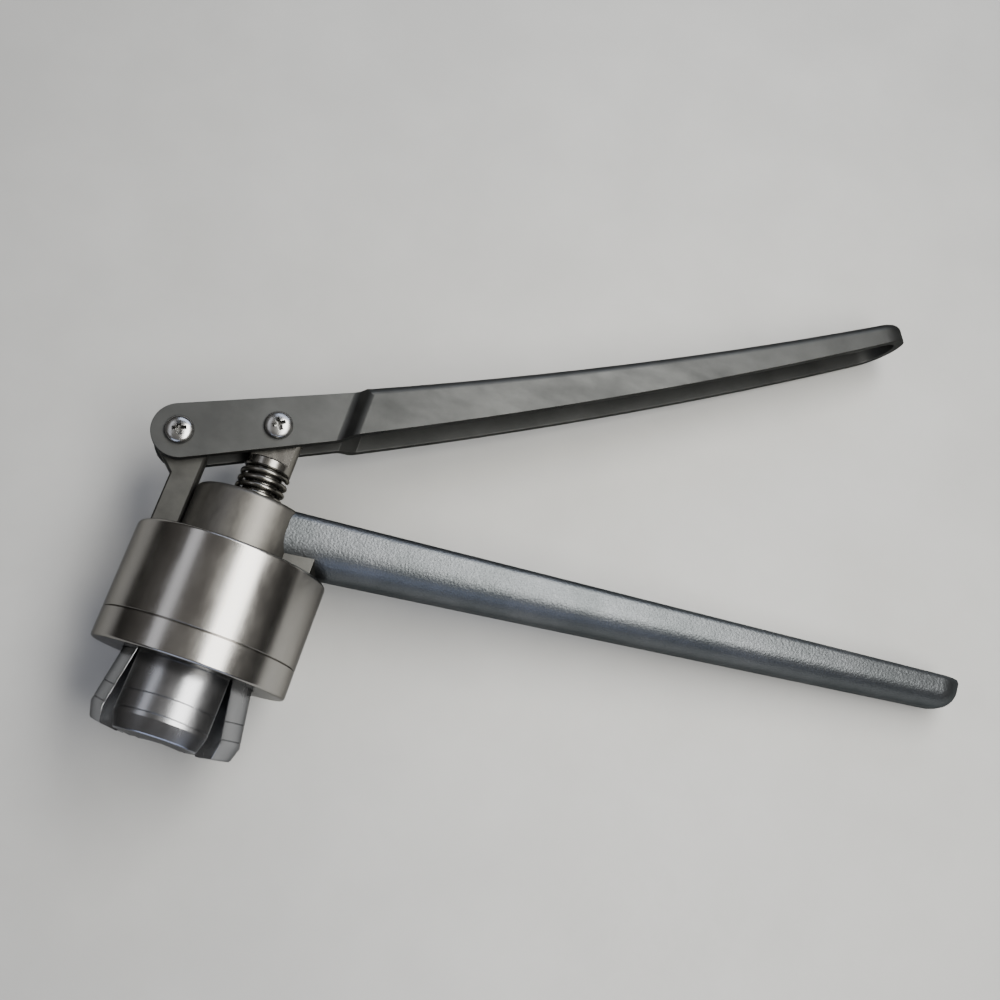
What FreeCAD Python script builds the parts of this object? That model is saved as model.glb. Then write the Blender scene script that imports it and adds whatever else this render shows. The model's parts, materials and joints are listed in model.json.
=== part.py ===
"""Pliers-type hand crimper: two handles, a pivot arm, a bell with four jaws, and a sprung plunger.

Tool frame, millimetres: the tool's axis is Y, the jaws point to -Y, the handles reach out to +X, and the
tool is symmetric about z = 0. The origin is the centre of the anvil's face. All the pieces are drawn in
that frame and turned together about Y at the end, into the pose in which the tool lies on a bench, on the
bell's rim and the tip of the lower handle, with +Z up.
"""
import FreeCAD, Part
import math
import os

V = FreeCAD.Vector
Y_AXIS = V(0, 1, 0)
Z_AXIS = V(0, 0, 1)
ORIGIN = V(0, 0, 0)

# ---- clearances
RUN = 0.05            # radial, pins and rods that turn or slide
SIDE = 0.10           # beside a moving face
SEAT = 0.02           # radial, parts that are pushed together and stay
PAST = 1.0            # how far cutting and joining shapes reach past a face
EXACT = 1e-6          # places closer than this are the same

# ---- bell and retaining ring
BELL_R = 27.0
BELL_WALL = 2.0
BELL_LENGTH = 24.6
BELL_EDGE = 0.9       # rounding of the bell's upper rim
RING_LENGTH = 8.4
RING_EDGE = 0.8       # chamfer at the mouth
LIP_THICKNESS = 3.0
LIP_GAP = 0.7         # dark ring between the lip and the closed jaws
SPIGOT_LENGTH = 6.0
SPIGOT_WALL = 2.3
SEAM = 0.25           # groove where bell and ring meet

# ---- jaws, sizes in the closed position
JAW_R = 17.6
JAW_LENGTH = 19.5     # what stands out of the ring
JAW_REACH = 13.0      # past the anvil's face
JAW_OPEN_DEG = 9.0
JAW_GAP = 0.6         # between neighbours when closed
JAW_TOP_GAP = 5.2     # between their upper ends, which swing inwards
JAW_CAVITY_R = 10.8
JAW_HOOK_R = 9.2
JAW_HOOK_HEIGHT = 2.6
JAW_NOSE = 2.6        # length of the rounded nose
JAW_NOSE_DEPTH = 2.0
JAW_NOSE_BULGE = (0.28, 0.32)   # how far in and up the nose's middle lies, as shares of depth and length
JAW_HOOK_LAND = 0.45  # share of the hook's height that is straight
JAW_HOOK_EDGE = 0.4
JAW_SHOULDER_R = 21.0
JAW_SHOULDER = 4.2
SHOULDER_PLAY = 0.9   # above the lip, closed; the shoulder's ends dip when the jaw opens
JAW_STEM_R = 20.2
JAW_TOP_R = 13.4      # inner radius that the cone spreads
JAW_THROAT_R = 11.6
FULCRUM_RISE = 2.2    # fulcrum above the mouth of the ring
TAPER_RISE = 1.0      # the gaps widen from this far above the fulcrum
LINE_WIDTH = 0.35
LINE_DEPTH = 0.25
LINE_PLACES = (0.50, 0.74)   # shares of the jaw's standing length
O_RING_SECTION = 1.8
O_RING_DEPTH = 1.4
O_RING_GROOVE = 3.1   # height of its groove in the jaws
O_RING_PLAY = 0.15    # round the open jaws' grooves

# ---- anvil, plunger, cone, spring
ANVIL_R = 8.6
ANVIL_THICKNESS = 5.0
ANVIL_EDGE = 0.6
HUB_R = 6.6
HUB_HEIGHT = 3.0
NUT_ACROSS = 13.0
NUT_HEIGHT = 4.0
NUT_EDGE = 0.5        # bevel of its corners
NUT_EDGE_SLOPE = 0.9
ROD_R = 5.0
ROD_IN_ANVIL = 3.0
CONE_CLEARANCE = 0.35
CONE_FOOT = 5.0       # cone below the jaws' upper ends
CONE_LAND = 0.4       # straight rim at its wide end
CONE_HEADROOM = 0.3   # under the flange at rest
CLIP_SECTION = 0.9
CLIP_WIDTH = 1.6
COLLAR_R = 6.75
COLLAR_EDGE = 0.4
COLLAR_CLEARANCE = 0.3     # under the cheeks
TONGUE_THICKNESS = 7.8
TONGUE_TOP = 6.4      # above the link pin
TONGUE_CROWN_R = 7.35
SPRING_R = 7.1
SPRING_WIRE = 1.5
SPRING_TURNS = 10.0
SPRING_GAP = 10.0     # visible spring, from the boss to the collar
WASHER_THICKNESS = 0.6
WASHER_PLAY = 0.2     # round the rod

# ---- lower handle casting
BOSS_R = 16.4
BOSS_HEIGHT = 16.0    # above the bell
BOSS_EDGE = 1.4
FLANGE_THICKNESS = 4.6
FLANGE_DROP = 0.5     # below the bell's rim
COUNTERBORE_R = 7.6
COUNTERBORE_DEPTH = 14.5
BUSH_R = 7.0
LOWER_REACH = 218.5
LOWER_TOP_SLOPE = 0.1025
LOWER_ROOT_X = 11.0
LOWER_START_X = 8.0          # the handle begins inside the boss
LOWER_ROOT_HEIGHT = 15.6     # height of the handle at the bell's side
LOWER_TIP_HEIGHT = 9.47      # at the reach, before the tip is rounded
LOWER_ROOT_HALF = 11.5
LOWER_TIP_HALF = 9.0         # half depth at the tip, which is a half circle from above
LOWER_TOP_ROUND = 3.0
LOWER_BOTTOM_ROUND = 9.4
LOWER_TIP_BOTTOM_ROUND = 6.2
LOWER_NOSE_TOP = 2.6         # roundings of the tip seen from the side
LOWER_NOSE_BOTTOM = 6.4
WEB_R = 23.6
WEB_HALF = 9.6

# ---- pivots
PIVOT_HEIGHT = 27.3          # above the bell
LINK_LEVER = 24.7            # link pin from the pivot, along X
LINK_RISE = 11.0             # and along Y
PIN_R = 3.0
SCREW_R = 2.0
SCREW_DEPTH = 4.5
SCREW_END_GAP = 0.3          # at the bottom of its hole
HEAD_R = 4.0
HEAD_HEIGHT = 2.4
HEAD_RIM = 0.84              # straight part of the head
RECESS_LENGTH = 4.4
RECESS_WIDTH = 0.9
RECESS_DEPTH = 1.5
SLOT_PLAY = 0.25             # along the slot, past the pin's travel
SLOT_RISE = 0.15             # above and below the pin, for the lever's arc
TRAVEL_DEG = 17.0

# ---- pivot arm
ARM_THICKNESS = 7.0
ARM_WIDTH = 7.5
ARM_GAP = 0.4                # beside the boss
ARM_EYE_R = 7.5
ARM_EYE_DEG = (215, 10)      # where the arm's two sides meet the eye
ARM_EDGE = 0.5
EYE_WASHER_INSET = 1.0
ARM_NECK_HEIGHT = 15.9       # above the bell
ARM_FOOT_DEPTH = 9.5         # below the bell's rim
DOWEL_R = 1.25
DOWEL_INSET = 0.3            # ends short of the bell's bore
DOWEL_PITCH = 3.7

# ---- upper handle
FORK_GAP = 8.2
CHEEK = 2.6
CHEEK_END_R = 7.9
CHEEK_TOP_END = 9.1          # above the pivot line, at the joggle
CHEEK_BOTTOM_END = 5.15      # below it
CHEEK_TOP_PAST = 4.0         # the two are measured past and short of the joggle
CHEEK_LOW_SHORT = 3.0
JOGGLE_X = 16.6
JOGGLE_LENGTH = 3.4
GRIP_HALF = 11.0
GRIP_WALL = 2.8
GRIP_SPINE = 2.8
GRIP_END_X = 173.6
GRIP_END_RISE = 144.8        # top of the grip's tip above the bell
GRIP_SAG = 2.5               # the grip's bow
GRIP_END_HEIGHT = 6.4
GRIP_TIP_ROUND = 10.4        # seen from above
GRIP_TIP_WALL = 3.4
GRIP_EDGE = 2.6
SPINE_START = 37.0           # from the pivot, along the cheeks

# ---- places that follow from the sizes, along Y
JAW_TIP_Y = -JAW_REACH
MOUTH_Y = JAW_TIP_Y + JAW_LENGTH
SEAM_Y = MOUTH_Y + RING_LENGTH
BELL_TOP_Y = SEAM_Y + BELL_LENGTH
FLANGE_TOP_Y = BELL_TOP_Y - FLANGE_DROP
FLANGE_Y = FLANGE_TOP_Y - FLANGE_THICKNESS
BOSS_TOP_Y = BELL_TOP_Y + BOSS_HEIGHT
BELL_BORE_R = BELL_R - BELL_WALL
LIP_Y = MOUTH_Y + LIP_THICKNESS
FULCRUM_Y = MOUTH_Y + FULCRUM_RISE
SPRING_Y = BOSS_TOP_Y - COUNTERBORE_DEPTH + WASHER_THICKNESS
COLLAR_Y = BOSS_TOP_Y + SPRING_GAP
LEVER = math.hypot(LINK_LEVER, LINK_RISE)
LEVER_ANGLE = math.atan2(LINK_RISE, LINK_LEVER)
CLOSED_ANGLE = LEVER_ANGLE - math.radians(TRAVEL_DEG)
STROKE = LINK_RISE - LEVER * math.sin(CLOSED_ANGLE)
LINK_DRIFT = LEVER * math.cos(CLOSED_ANGLE) - LINK_LEVER
PIVOT = V(-LINK_LEVER - LINK_DRIFT / 2, BELL_TOP_Y + PIVOT_HEIGHT, 0)   # the link pin swings across the axis
LINK = PIVOT + V(LINK_LEVER, LINK_RISE, 0)
JAW_TOP_Y = FLANGE_Y - CONE_HEADROOM - CONE_LAND - STROKE
SHOULDER_Y = LIP_Y + SHOULDER_PLAY
GROOVE_Y = (SHOULDER_Y + JAW_SHOULDER + JAW_TOP_Y) / 2
FORK_HALF = FORK_GAP / 2 + CHEEK
ARM_INNER_X = -BOSS_R - ARM_GAP
ARM_OUTER_X = ARM_INNER_X - ARM_WIDTH
DOWEL_Y = FLANGE_Y + FLANGE_THICKNESS / 2
DOWEL_XS = tuple((ARM_INNER_X + ARM_OUTER_X) / 2 + sign * DOWEL_PITCH / 2 for sign in (-1, 1))
DOWEL_HALF = math.sqrt((BELL_BORE_R - DOWEL_INSET) ** 2 - (DOWEL_R - DOWEL_XS[0]) ** 2)
REST_X = LOWER_REACH - LOWER_TIP_HALF      # where the lower handle touches the bench
LOWER_BOTTOM_SLOPE = LOWER_TOP_SLOPE + (LOWER_ROOT_HEIGHT - LOWER_TIP_HEIGHT) / (LOWER_REACH - BELL_R)
TIP_ANGLE = math.atan2(LOWER_TIP_HALF, REST_X)
LIE_DEG = math.degrees(math.asin(BELL_R / math.hypot(REST_X, LOWER_TIP_HALF)) - TIP_ANGLE)

SIDES = {"front": 0, "right": 90, "back": 180, "left": 270}


def rod(radius, low, high, x=0.0, z=0.0):
    """A cylinder along Y."""
    return Part.makeCylinder(radius, high - low, V(x, low, z), Y_AXIS)


def cross(radius, low, high, x, y):
    """A cylinder along Z."""
    return Part.makeCylinder(radius, high - low, V(x, y, low), Z_AXIS)


def turned(points):
    """A solid turned about the tool's axis from an outline of (radius, y) corners."""
    outline = [V(r, y, 0) for r, y in points]
    face = Part.Face(Part.makePolygon(outline + outline[:1]))
    return face.revolve(ORIGIN, Y_AXIS, 360)


def prism(edges, half):
    """An outline of edges in the plane z = 0, drawn out to both sides."""
    face = Part.Face(Part.Wire(edges))
    face.translate(V(0, 0, -half))
    return face.extrude(V(0, 0, 2 * half))


def polygon(points):
    """The closed chain of straight edges through (x, y) points."""
    corners = [V(x, y, 0) for x, y in points]
    return Part.makePolygon(corners + corners[:1]).Edges


def box(x0, x1, y0, y1, half):
    """A block between two x and two y places, symmetric about z = 0."""
    return Part.makeBox(x1 - x0, y1 - y0, 2 * half, V(x0, y0, -half))


def edges_where(shape, test):
    """The edges whose middle point passes the test."""
    found = []
    for edge in shape.Edges:
        middle = edge.valueAt((edge.FirstParameter + edge.LastParameter) / 2)
        if test(middle, edge):
            found.append(edge)
    return found


def is_ring(edge, radius, y):
    """True for a full circle about the tool's axis at a radius and a height."""
    curve = edge.Curve
    if not isinstance(curve, Part.Circle) or len(edge.Vertexes) != 1:
        return False
    return abs(curve.Radius - radius) < 1e-4 and abs(curve.Center.y - y) < 1e-4


def fillet_rings(shape, size, rings, chamfer=False):
    """Rounds or bevels full circles given as (radius, y)."""
    edges = [e for e in shape.Edges if any(is_ring(e, r, y) for r, y in rings)]
    return shape.makeChamfer(size, edges) if chamfer else shape.makeFillet(size, edges)


# ---------------------------------------------------------------- bell and ring

def bell_sleeve():
    """The polished sleeve round the jaws' upper ends."""
    tube = rod(BELL_R, SEAM_Y, BELL_TOP_Y).cut(rod(BELL_BORE_R, SEAM_Y, BELL_TOP_Y))
    tube = fillet_rings(tube, BELL_EDGE, [(BELL_R, BELL_TOP_Y)])
    return fillet_rings(tube, SEAM, [(BELL_R, SEAM_Y)], chamfer=True)


def retaining_ring():
    """The ring that closes the bell: a lip that holds the jaws in and a spigot that enters the bell."""
    spigot_r = BELL_BORE_R - SEAT
    chamber_r = spigot_r - SPIGOT_WALL
    mouth_r = JAW_R + LIP_GAP
    ring = turned([(mouth_r, MOUTH_Y), (BELL_R, MOUTH_Y), (BELL_R, SEAM_Y), (spigot_r, SEAM_Y),
                   (spigot_r, SEAM_Y + SPIGOT_LENGTH), (chamber_r, SEAM_Y + SPIGOT_LENGTH),
                   (chamber_r, LIP_Y), (mouth_r, LIP_Y)])
    ring = fillet_rings(ring, RING_EDGE, [(BELL_R, MOUTH_Y)])
    return fillet_rings(ring, SEAM, [(BELL_R, SEAM_Y)], chamfer=True)


# ---------------------------------------------------------------- jaws

def jaw_blank():
    """All four jaws as one turned piece, closed: nose, hook, cap cavity, shoulder, stem and throat."""
    cavity_y = JAW_TIP_Y + JAW_HOOK_HEIGHT
    shoulder_top = SHOULDER_Y + JAW_SHOULDER
    groove_half = O_RING_GROOVE / 2
    bulge_in, bulge_up = JAW_NOSE_BULGE
    nose = Part.Arc(V(JAW_R - JAW_NOSE_DEPTH, JAW_TIP_Y, 0),
                    V(JAW_R - JAW_NOSE_DEPTH * bulge_in, JAW_TIP_Y + JAW_NOSE * bulge_up, 0),
                    V(JAW_R, JAW_TIP_Y + JAW_NOSE, 0)).toShape()
    corners = [(JAW_R, JAW_TIP_Y + JAW_NOSE), (JAW_R, SHOULDER_Y), (JAW_SHOULDER_R, SHOULDER_Y),
               (JAW_SHOULDER_R, shoulder_top), (JAW_STEM_R, shoulder_top),
               (JAW_STEM_R, GROOVE_Y - groove_half), (JAW_STEM_R - O_RING_DEPTH, GROOVE_Y - groove_half),
               (JAW_STEM_R - O_RING_DEPTH, GROOVE_Y + groove_half), (JAW_STEM_R, GROOVE_Y + groove_half),
               (JAW_STEM_R, JAW_TOP_Y), (JAW_TOP_R, JAW_TOP_Y), (JAW_THROAT_R, LIP_Y + JAW_SHOULDER),
               (JAW_CAVITY_R, LIP_Y), (JAW_CAVITY_R, cavity_y),
               (JAW_HOOK_R, JAW_TIP_Y + JAW_HOOK_HEIGHT * JAW_HOOK_LAND),
               (JAW_HOOK_R, JAW_TIP_Y + JAW_HOOK_EDGE), (JAW_HOOK_R + JAW_HOOK_EDGE, JAW_TIP_Y),
               (JAW_R - JAW_NOSE_DEPTH, JAW_TIP_Y)]
    sides = [Part.makeLine(V(a[0], a[1], 0), V(b[0], b[1], 0)) for a, b in zip(corners, corners[1:])]
    blank = Part.Face(Part.Wire([nose] + sides)).revolve(ORIGIN, Y_AXIS, 360)
    for share in LINE_PLACES:
        low = MOUTH_Y - share * JAW_LENGTH
        line = rod(JAW_R + PAST, low, low + LINE_WIDTH).cut(rod(JAW_R - LINE_DEPTH, low, low + LINE_WIDTH))
        blank = blank.cut(line)
    return blank


def quarter(low, high):
    """The quarter in front of two planes at 45 degrees, from one (y, offset forward) to another."""
    wide = 2 * BELL_R
    wires = []
    for y, offset in (low, high):
        tip = V(0, y, offset)
        wires.append(Part.makePolygon([tip, V(wide, y, offset + wide), V(-wide, y, offset + wide), tip]))
    return Part.makeLoft(wires, True, True)


def jaw_sector(blank):
    """The jaw that faces +Z, closed: a quarter of the blank, with more room between the upper ends."""
    lower_gap = JAW_GAP / math.sqrt(2)
    upper_gap = JAW_TOP_GAP / math.sqrt(2)
    taper_y = FULCRUM_Y + TAPER_RISE
    lower = quarter((JAW_TIP_Y - PAST, lower_gap), (taper_y, lower_gap))
    upper = quarter((taper_y, lower_gap), (JAW_TOP_Y + PAST, upper_gap))
    return blank.common(lower.fuse(upper))


def jaws():
    """The four jaws at rest, each swung open about its fulcrum on the ring's lip."""
    front = jaw_sector(jaw_blank())
    front.rotate(V(0, FULCRUM_Y, JAW_R), V(1, 0, 0), -JAW_OPEN_DEG)
    pieces = {}
    for side, azimuth in SIDES.items():
        jaw = front.copy()
        jaw.rotate(ORIGIN, Y_AXIS, azimuth)
        pieces["jaw_" + side] = jaw
    return pieces


def jaw_o_ring():
    """The rubber ring that pulls the jaws' upper ends together."""
    inwards = (GROOVE_Y - FULCRUM_Y) * math.sin(math.radians(JAW_OPEN_DEG))
    floor_r = JAW_STEM_R - O_RING_DEPTH
    corner = floor_r * math.sqrt(0.5)
    rest_r = math.hypot(corner - inwards, corner) + O_RING_PLAY
    return Part.makeTorus(rest_r + O_RING_SECTION / 2, O_RING_SECTION / 2, V(0, GROOVE_Y, 0), Y_AXIS)


# ---------------------------------------------------------------- plunger group

def anvil():
    """The pad that presses on the cap, with its hub."""
    pad = rod(ANVIL_R, 0, ANVIL_THICKNESS).fuse(rod(HUB_R, 0, ANVIL_THICKNESS + HUB_HEIGHT)).removeSplitter()
    pad = fillet_rings(pad, ANVIL_EDGE, [(ANVIL_R, 0)])
    return pad.cut(rod(ROD_R + SEAT, ROD_IN_ANVIL, ANVIL_THICKNESS + HUB_HEIGHT))


def anvil_lock_nut():
    """The hexagon nut that locks the anvil's height."""
    low = ANVIL_THICKNESS + HUB_HEIGHT
    radius = NUT_ACROSS / math.sqrt(3)
    corners = [V(radius * math.cos(math.radians(60 * i)), low, radius * math.sin(math.radians(60 * i)))
               for i in range(7)]
    nut = Part.Face(Part.makePolygon(corners)).extrude(V(0, NUT_HEIGHT, 0))
    top_r = radius - NUT_EDGE
    cone = Part.makeCone(top_r + NUT_HEIGHT * NUT_EDGE_SLOPE, top_r, NUT_HEIGHT, V(0, low, 0), Y_AXIS)
    return nut.common(cone).cut(rod(ROD_R + SEAT, low, low + NUT_HEIGHT))


def open_jaw_point(radius, y):
    """Where a point of a closed jaw's middle plane, given by radius and height, lies when it is open."""
    turn = math.radians(JAW_OPEN_DEG)
    out, up = radius - JAW_R, y - FULCRUM_Y
    open_r = JAW_R + out * math.cos(turn) - up * math.sin(turn)
    return open_r, FULCRUM_Y + up * math.cos(turn) + out * math.sin(turn)


def cone_outline():
    """The cone's (radius, y) at the open jaws' upper edge, and where that edge ends up when closed."""
    open_r, open_y = open_jaw_point(JAW_TOP_R, JAW_TOP_Y)
    return (open_r - CONE_CLEARANCE, open_y), (JAW_TOP_R - CONE_CLEARANCE, JAW_TOP_Y + STROKE)


def wedge_cone():
    """The hardened cone that spreads the jaws' upper ends as the plunger comes down."""
    (low_r, low_y), (high_r, high_y) = cone_outline()
    slope = (high_r - low_r) / (high_y - low_y)
    foot_y = low_y - CONE_FOOT
    bore = ROD_R + SEAT
    top_y = high_y + CONE_LAND
    return turned([(bore, foot_y), (low_r - slope * CONE_FOOT, foot_y), (high_r, high_y), (high_r, top_y),
                   (bore, top_y)])


def plunger_circlip():
    """The spring clip in the rod under the cone."""
    high = cone_outline()[0][1] - CONE_FOOT
    inner = ROD_R - CLIP_SECTION / 2 + SEAT
    clip = rod(inner + CLIP_WIDTH, high - CLIP_SECTION, high).cut(rod(inner, high - CLIP_SECTION, high))
    return clip.cut(box(0, 2 * ROD_R, high - CLIP_SECTION, high, CLIP_WIDTH))


def collar_top():
    """Height of the collar's upper face, just under the cheeks' lower edges."""
    _, _, low_end = cheek_edges(JOGGLE_X)
    low_start = along_cheek(0, -CHEEK_END_R)
    nearest_x = -math.sqrt(COLLAR_R ** 2 - (FORK_GAP / 2) ** 2)
    return at_x(low_start, low_end, nearest_x)[1] - COLLAR_CLEARANCE


def plunger():
    """The rod, its collar, and the flat tongue that the link pin drives through a slot."""
    clip_y = cone_outline()[0][1] - CONE_FOOT
    shaft = rod(ROD_R, ROD_IN_ANVIL, COLLAR_Y + COLLAR_EDGE)
    groove = rod(2 * ROD_R, clip_y - CLIP_SECTION, clip_y).cut(
        rod(ROD_R - CLIP_SECTION / 2, clip_y - CLIP_SECTION, clip_y))
    collar = rod(COLLAR_R, COLLAR_Y, collar_top())
    collar = fillet_rings(collar, COLLAR_EDGE, [(COLLAR_R, COLLAR_Y), (COLLAR_R, collar_top())], chamfer=True)
    top, low = LINK.y + TONGUE_TOP, COLLAR_Y + COLLAR_EDGE
    crown_y = top - TONGUE_CROWN_R
    crown = cross(TONGUE_CROWN_R, -COLLAR_R, COLLAR_R, 0, crown_y).fuse(
        box(-TONGUE_CROWN_R, TONGUE_CROWN_R, low, crown_y, COLLAR_R))
    tongue = rod(COLLAR_R, low, top).common(crown).common(
        box(-COLLAR_R, COLLAR_R, low, top, TONGUE_THICKNESS / 2))
    slot_r = PIN_R + SLOT_RISE
    ends = (LINK.x - SLOT_PLAY, LINK.x + LINK_DRIFT + SLOT_PLAY)
    slot = box(ends[0], ends[1], LINK.y - slot_r, LINK.y + slot_r, COLLAR_R)
    for x in ends:
        slot = slot.fuse(cross(slot_r, -COLLAR_R, COLLAR_R, x, LINK.y))
    return shaft.cut(groove).fuse([collar, tongue]).cut(slot).removeSplitter()


def return_spring():
    """The coil spring that lifts the plunger, from its washer to the collar."""
    mean_r = SPRING_R - SPRING_WIRE / 2
    wire_r = SPRING_WIRE / 2
    height = COLLAR_Y - SPRING_Y - SPRING_WIRE - 2 * RUN
    pitch = height / SPRING_TURNS
    helix = Part.makeHelix(pitch, height, mean_r)
    section = Part.Wire(Part.makeCircle(wire_r, V(mean_r, 0, 0), Y_AXIS))
    coil = Part.Wire(helix).makePipeShell([section], True, True)
    coil.rotate(ORIGIN, V(1, 0, 0), -90)
    coil.translate(V(0, SPRING_Y + wire_r + RUN, 0))
    return coil


def spring_washer():
    """The hardened washer under the spring."""
    return rod(COUNTERBORE_R - 2 * RUN, SPRING_Y - WASHER_THICKNESS, SPRING_Y).cut(
        rod(ROD_R + WASHER_PLAY, SPRING_Y - WASHER_THICKNESS, SPRING_Y))


def boss_bush():
    """The bronze bush that guides the rod."""
    return rod(BUSH_R - SEAT, FLANGE_Y, SPRING_Y - WASHER_THICKNESS).cut(
        rod(ROD_R + RUN, FLANGE_Y, SPRING_Y - WASHER_THICKNESS))


# ---------------------------------------------------------------- lower handle

def lower_top(x):
    """Height of the lower handle's upper side."""
    return BOSS_TOP_Y + (x - LOWER_ROOT_X) * LOWER_TOP_SLOPE


def lower_bottom(x):
    """Height of the lower handle's underside."""
    return lower_top(BELL_R) - LOWER_ROOT_HEIGHT + (x - BELL_R) * LOWER_BOTTOM_SLOPE


def lower_section(x, half, bottom_round):
    """The handle's section at x: tight upper corners and a full, round underside."""
    low, high, top_round = lower_bottom(x), lower_top(x), LOWER_TOP_ROUND
    diagonal = 1 - math.sqrt(0.5)
    edges = []
    place = [(-half + top_round, high), (half - top_round, high),
             (half, high - top_round), (half, low + bottom_round),
             (half - bottom_round, low), (-half + bottom_round, low),
             (-half, low + bottom_round), (-half, high - top_round)]
    middles = [None, (half - diagonal * top_round, high - diagonal * top_round),
               None, (half - diagonal * bottom_round, low + diagonal * bottom_round),
               None, (-half + diagonal * bottom_round, low + diagonal * bottom_round),
               None, (-half + diagonal * top_round, high - diagonal * top_round)]
    for i, middle in enumerate(middles):
        start, end = place[i], place[(i + 1) % len(place)]
        a, b = V(x, start[1], start[0]), V(x, end[1], end[0])
        if middle is None:
            edges.append(Part.makeLine(a, b))
        else:
            edges.append(Part.Arc(a, V(x, middle[1], middle[0]), b).toShape())
    return Part.Wire(edges)


def lower_half(x):
    """Half the lower handle's depth."""
    share = (x - LOWER_ROOT_X) / (LOWER_REACH - LOWER_ROOT_X)
    return LOWER_ROOT_HALF + share * (LOWER_TIP_HALF - LOWER_ROOT_HALF)


def lower_grip():
    """The tapered handle, with a tip that is round from above and from the side."""
    bar = Part.makeLoft([lower_section(LOWER_START_X, lower_half(LOWER_START_X), LOWER_BOTTOM_ROUND),
                         lower_section(LOWER_REACH, LOWER_TIP_HALF, LOWER_TIP_BOTTOM_ROUND)], True, True)
    wide = 2 * LOWER_ROOT_HALF
    tall = 2 * lower_top(LOWER_REACH)
    tip_r = lower_half(REST_X)
    plan = box(0, LOWER_REACH - tip_r, 0, tall, wide).fuse(
        Part.makeCylinder(tip_r, tall, V(LOWER_REACH - tip_r, 0, 0), Y_AXIS))
    low_x = LOWER_REACH - LOWER_NOSE_BOTTOM
    high_x = LOWER_REACH - LOWER_NOSE_TOP
    low_y = lower_bottom(low_x) + LOWER_NOSE_BOTTOM
    high_y = lower_top(high_x) - LOWER_NOSE_TOP
    side = box(0, low_x, 0, tall, wide).fuse([
        cross(LOWER_NOSE_BOTTOM, -wide, wide, low_x, low_y), cross(LOWER_NOSE_TOP, -wide, wide, high_x, high_y),
        box(low_x, LOWER_REACH, low_y, high_y, wide), box(low_x, high_x, high_y, tall, wide)])
    return bar.common(plan).common(side)


def lower_handle():
    """The casting: flange in the bell, turned boss, web over the bell's rim, and handle."""
    boss = rod(BOSS_R, FLANGE_Y, BOSS_TOP_Y)
    boss = fillet_rings(boss, BOSS_EDGE, [(BOSS_R, BOSS_TOP_Y)])
    flange = rod(BELL_BORE_R - SEAT, FLANGE_Y, FLANGE_TOP_Y)
    web = box(0, 2 * WEB_R, FLANGE_TOP_Y - PAST, lower_top(BELL_R) - LOWER_ROOT_HEIGHT / 2, WEB_HALF).common(
        rod(WEB_R, FLANGE_TOP_Y - PAST, BOSS_TOP_Y))
    casting = boss.fuse([flange, web, lower_grip()]).removeSplitter()
    casting = casting.cut(rod(COUNTERBORE_R, SPRING_Y - WASHER_THICKNESS, 2 * BOSS_TOP_Y))
    casting = casting.cut(rod(BUSH_R, FLANGE_Y, BOSS_TOP_Y))
    notch = box(-BELL_R, ARM_INNER_X + SEAT, FLANGE_Y - PAST, FLANGE_TOP_Y + PAST, ARM_THICKNESS / 2 + SEAT)
    casting = casting.cut(notch)
    for x in DOWEL_XS:
        casting = casting.cut(cross(DOWEL_R, -DOWEL_HALF, DOWEL_HALF, x, DOWEL_Y))
    return casting


# ---------------------------------------------------------------- pivot arm

def side_arm():
    """The flat arm that stands in the flange and carries the pivot."""
    neck_y = BELL_TOP_Y + ARM_NECK_HEIGHT
    foot_y = BELL_TOP_Y - ARM_FOOT_DEPTH
    turns = [math.radians(a) for a in ARM_EYE_DEG]
    on_eye = [(PIVOT.x + ARM_EYE_R * math.cos(a), PIVOT.y + ARM_EYE_R * math.sin(a)) for a in turns]
    blade = prism(polygon([on_eye[0], (ARM_OUTER_X, neck_y), (ARM_OUTER_X, foot_y), (ARM_INNER_X, foot_y),
                           (ARM_INNER_X, neck_y + ARM_WIDTH), on_eye[1]]), ARM_THICKNESS / 2)
    arm = blade.fuse(cross(ARM_EYE_R, -ARM_THICKNESS / 2, ARM_THICKNESS / 2, PIVOT.x, PIVOT.y)).removeSplitter()
    arm = arm.cut(cross(PIN_R + RUN, -ARM_THICKNESS, ARM_THICKNESS, PIVOT.x, PIVOT.y))
    for x in DOWEL_XS:
        arm = arm.cut(cross(DOWEL_R, -ARM_THICKNESS, ARM_THICKNESS, x, DOWEL_Y))
    rim = edges_where(arm, lambda m, e: abs(abs(m.z) - ARM_THICKNESS / 2) < EXACT and m.y > BELL_TOP_Y
                      and math.hypot(m.x - PIVOT.x, m.y - PIVOT.y) > (PIN_R + ARM_EYE_R) / 2)
    return arm.makeChamfer(ARM_EDGE, rim)


def arm_dowels():
    """Two dowels through flange and arm."""
    names = ("arm_dowel_outer", "arm_dowel_inner")
    return {n: cross(DOWEL_R, -DOWEL_HALF, DOWEL_HALF, x, DOWEL_Y) for n, x in zip(names, DOWEL_XS)}


# ---------------------------------------------------------------- upper handle

def along_cheek(distance, rise):
    """A point at a distance from the pivot along the line of the two pins, and a rise above that line."""
    c, s = math.cos(LEVER_ANGLE), math.sin(LEVER_ANGLE)
    return PIVOT.x + distance * c - rise * s, PIVOT.y + distance * s + rise * c


def at_x(start, end, x):
    """The point of the line through two points at x."""
    share = (x - start[0]) / (end[0] - start[0])
    return x, start[1] + share * (end[1] - start[1])


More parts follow.
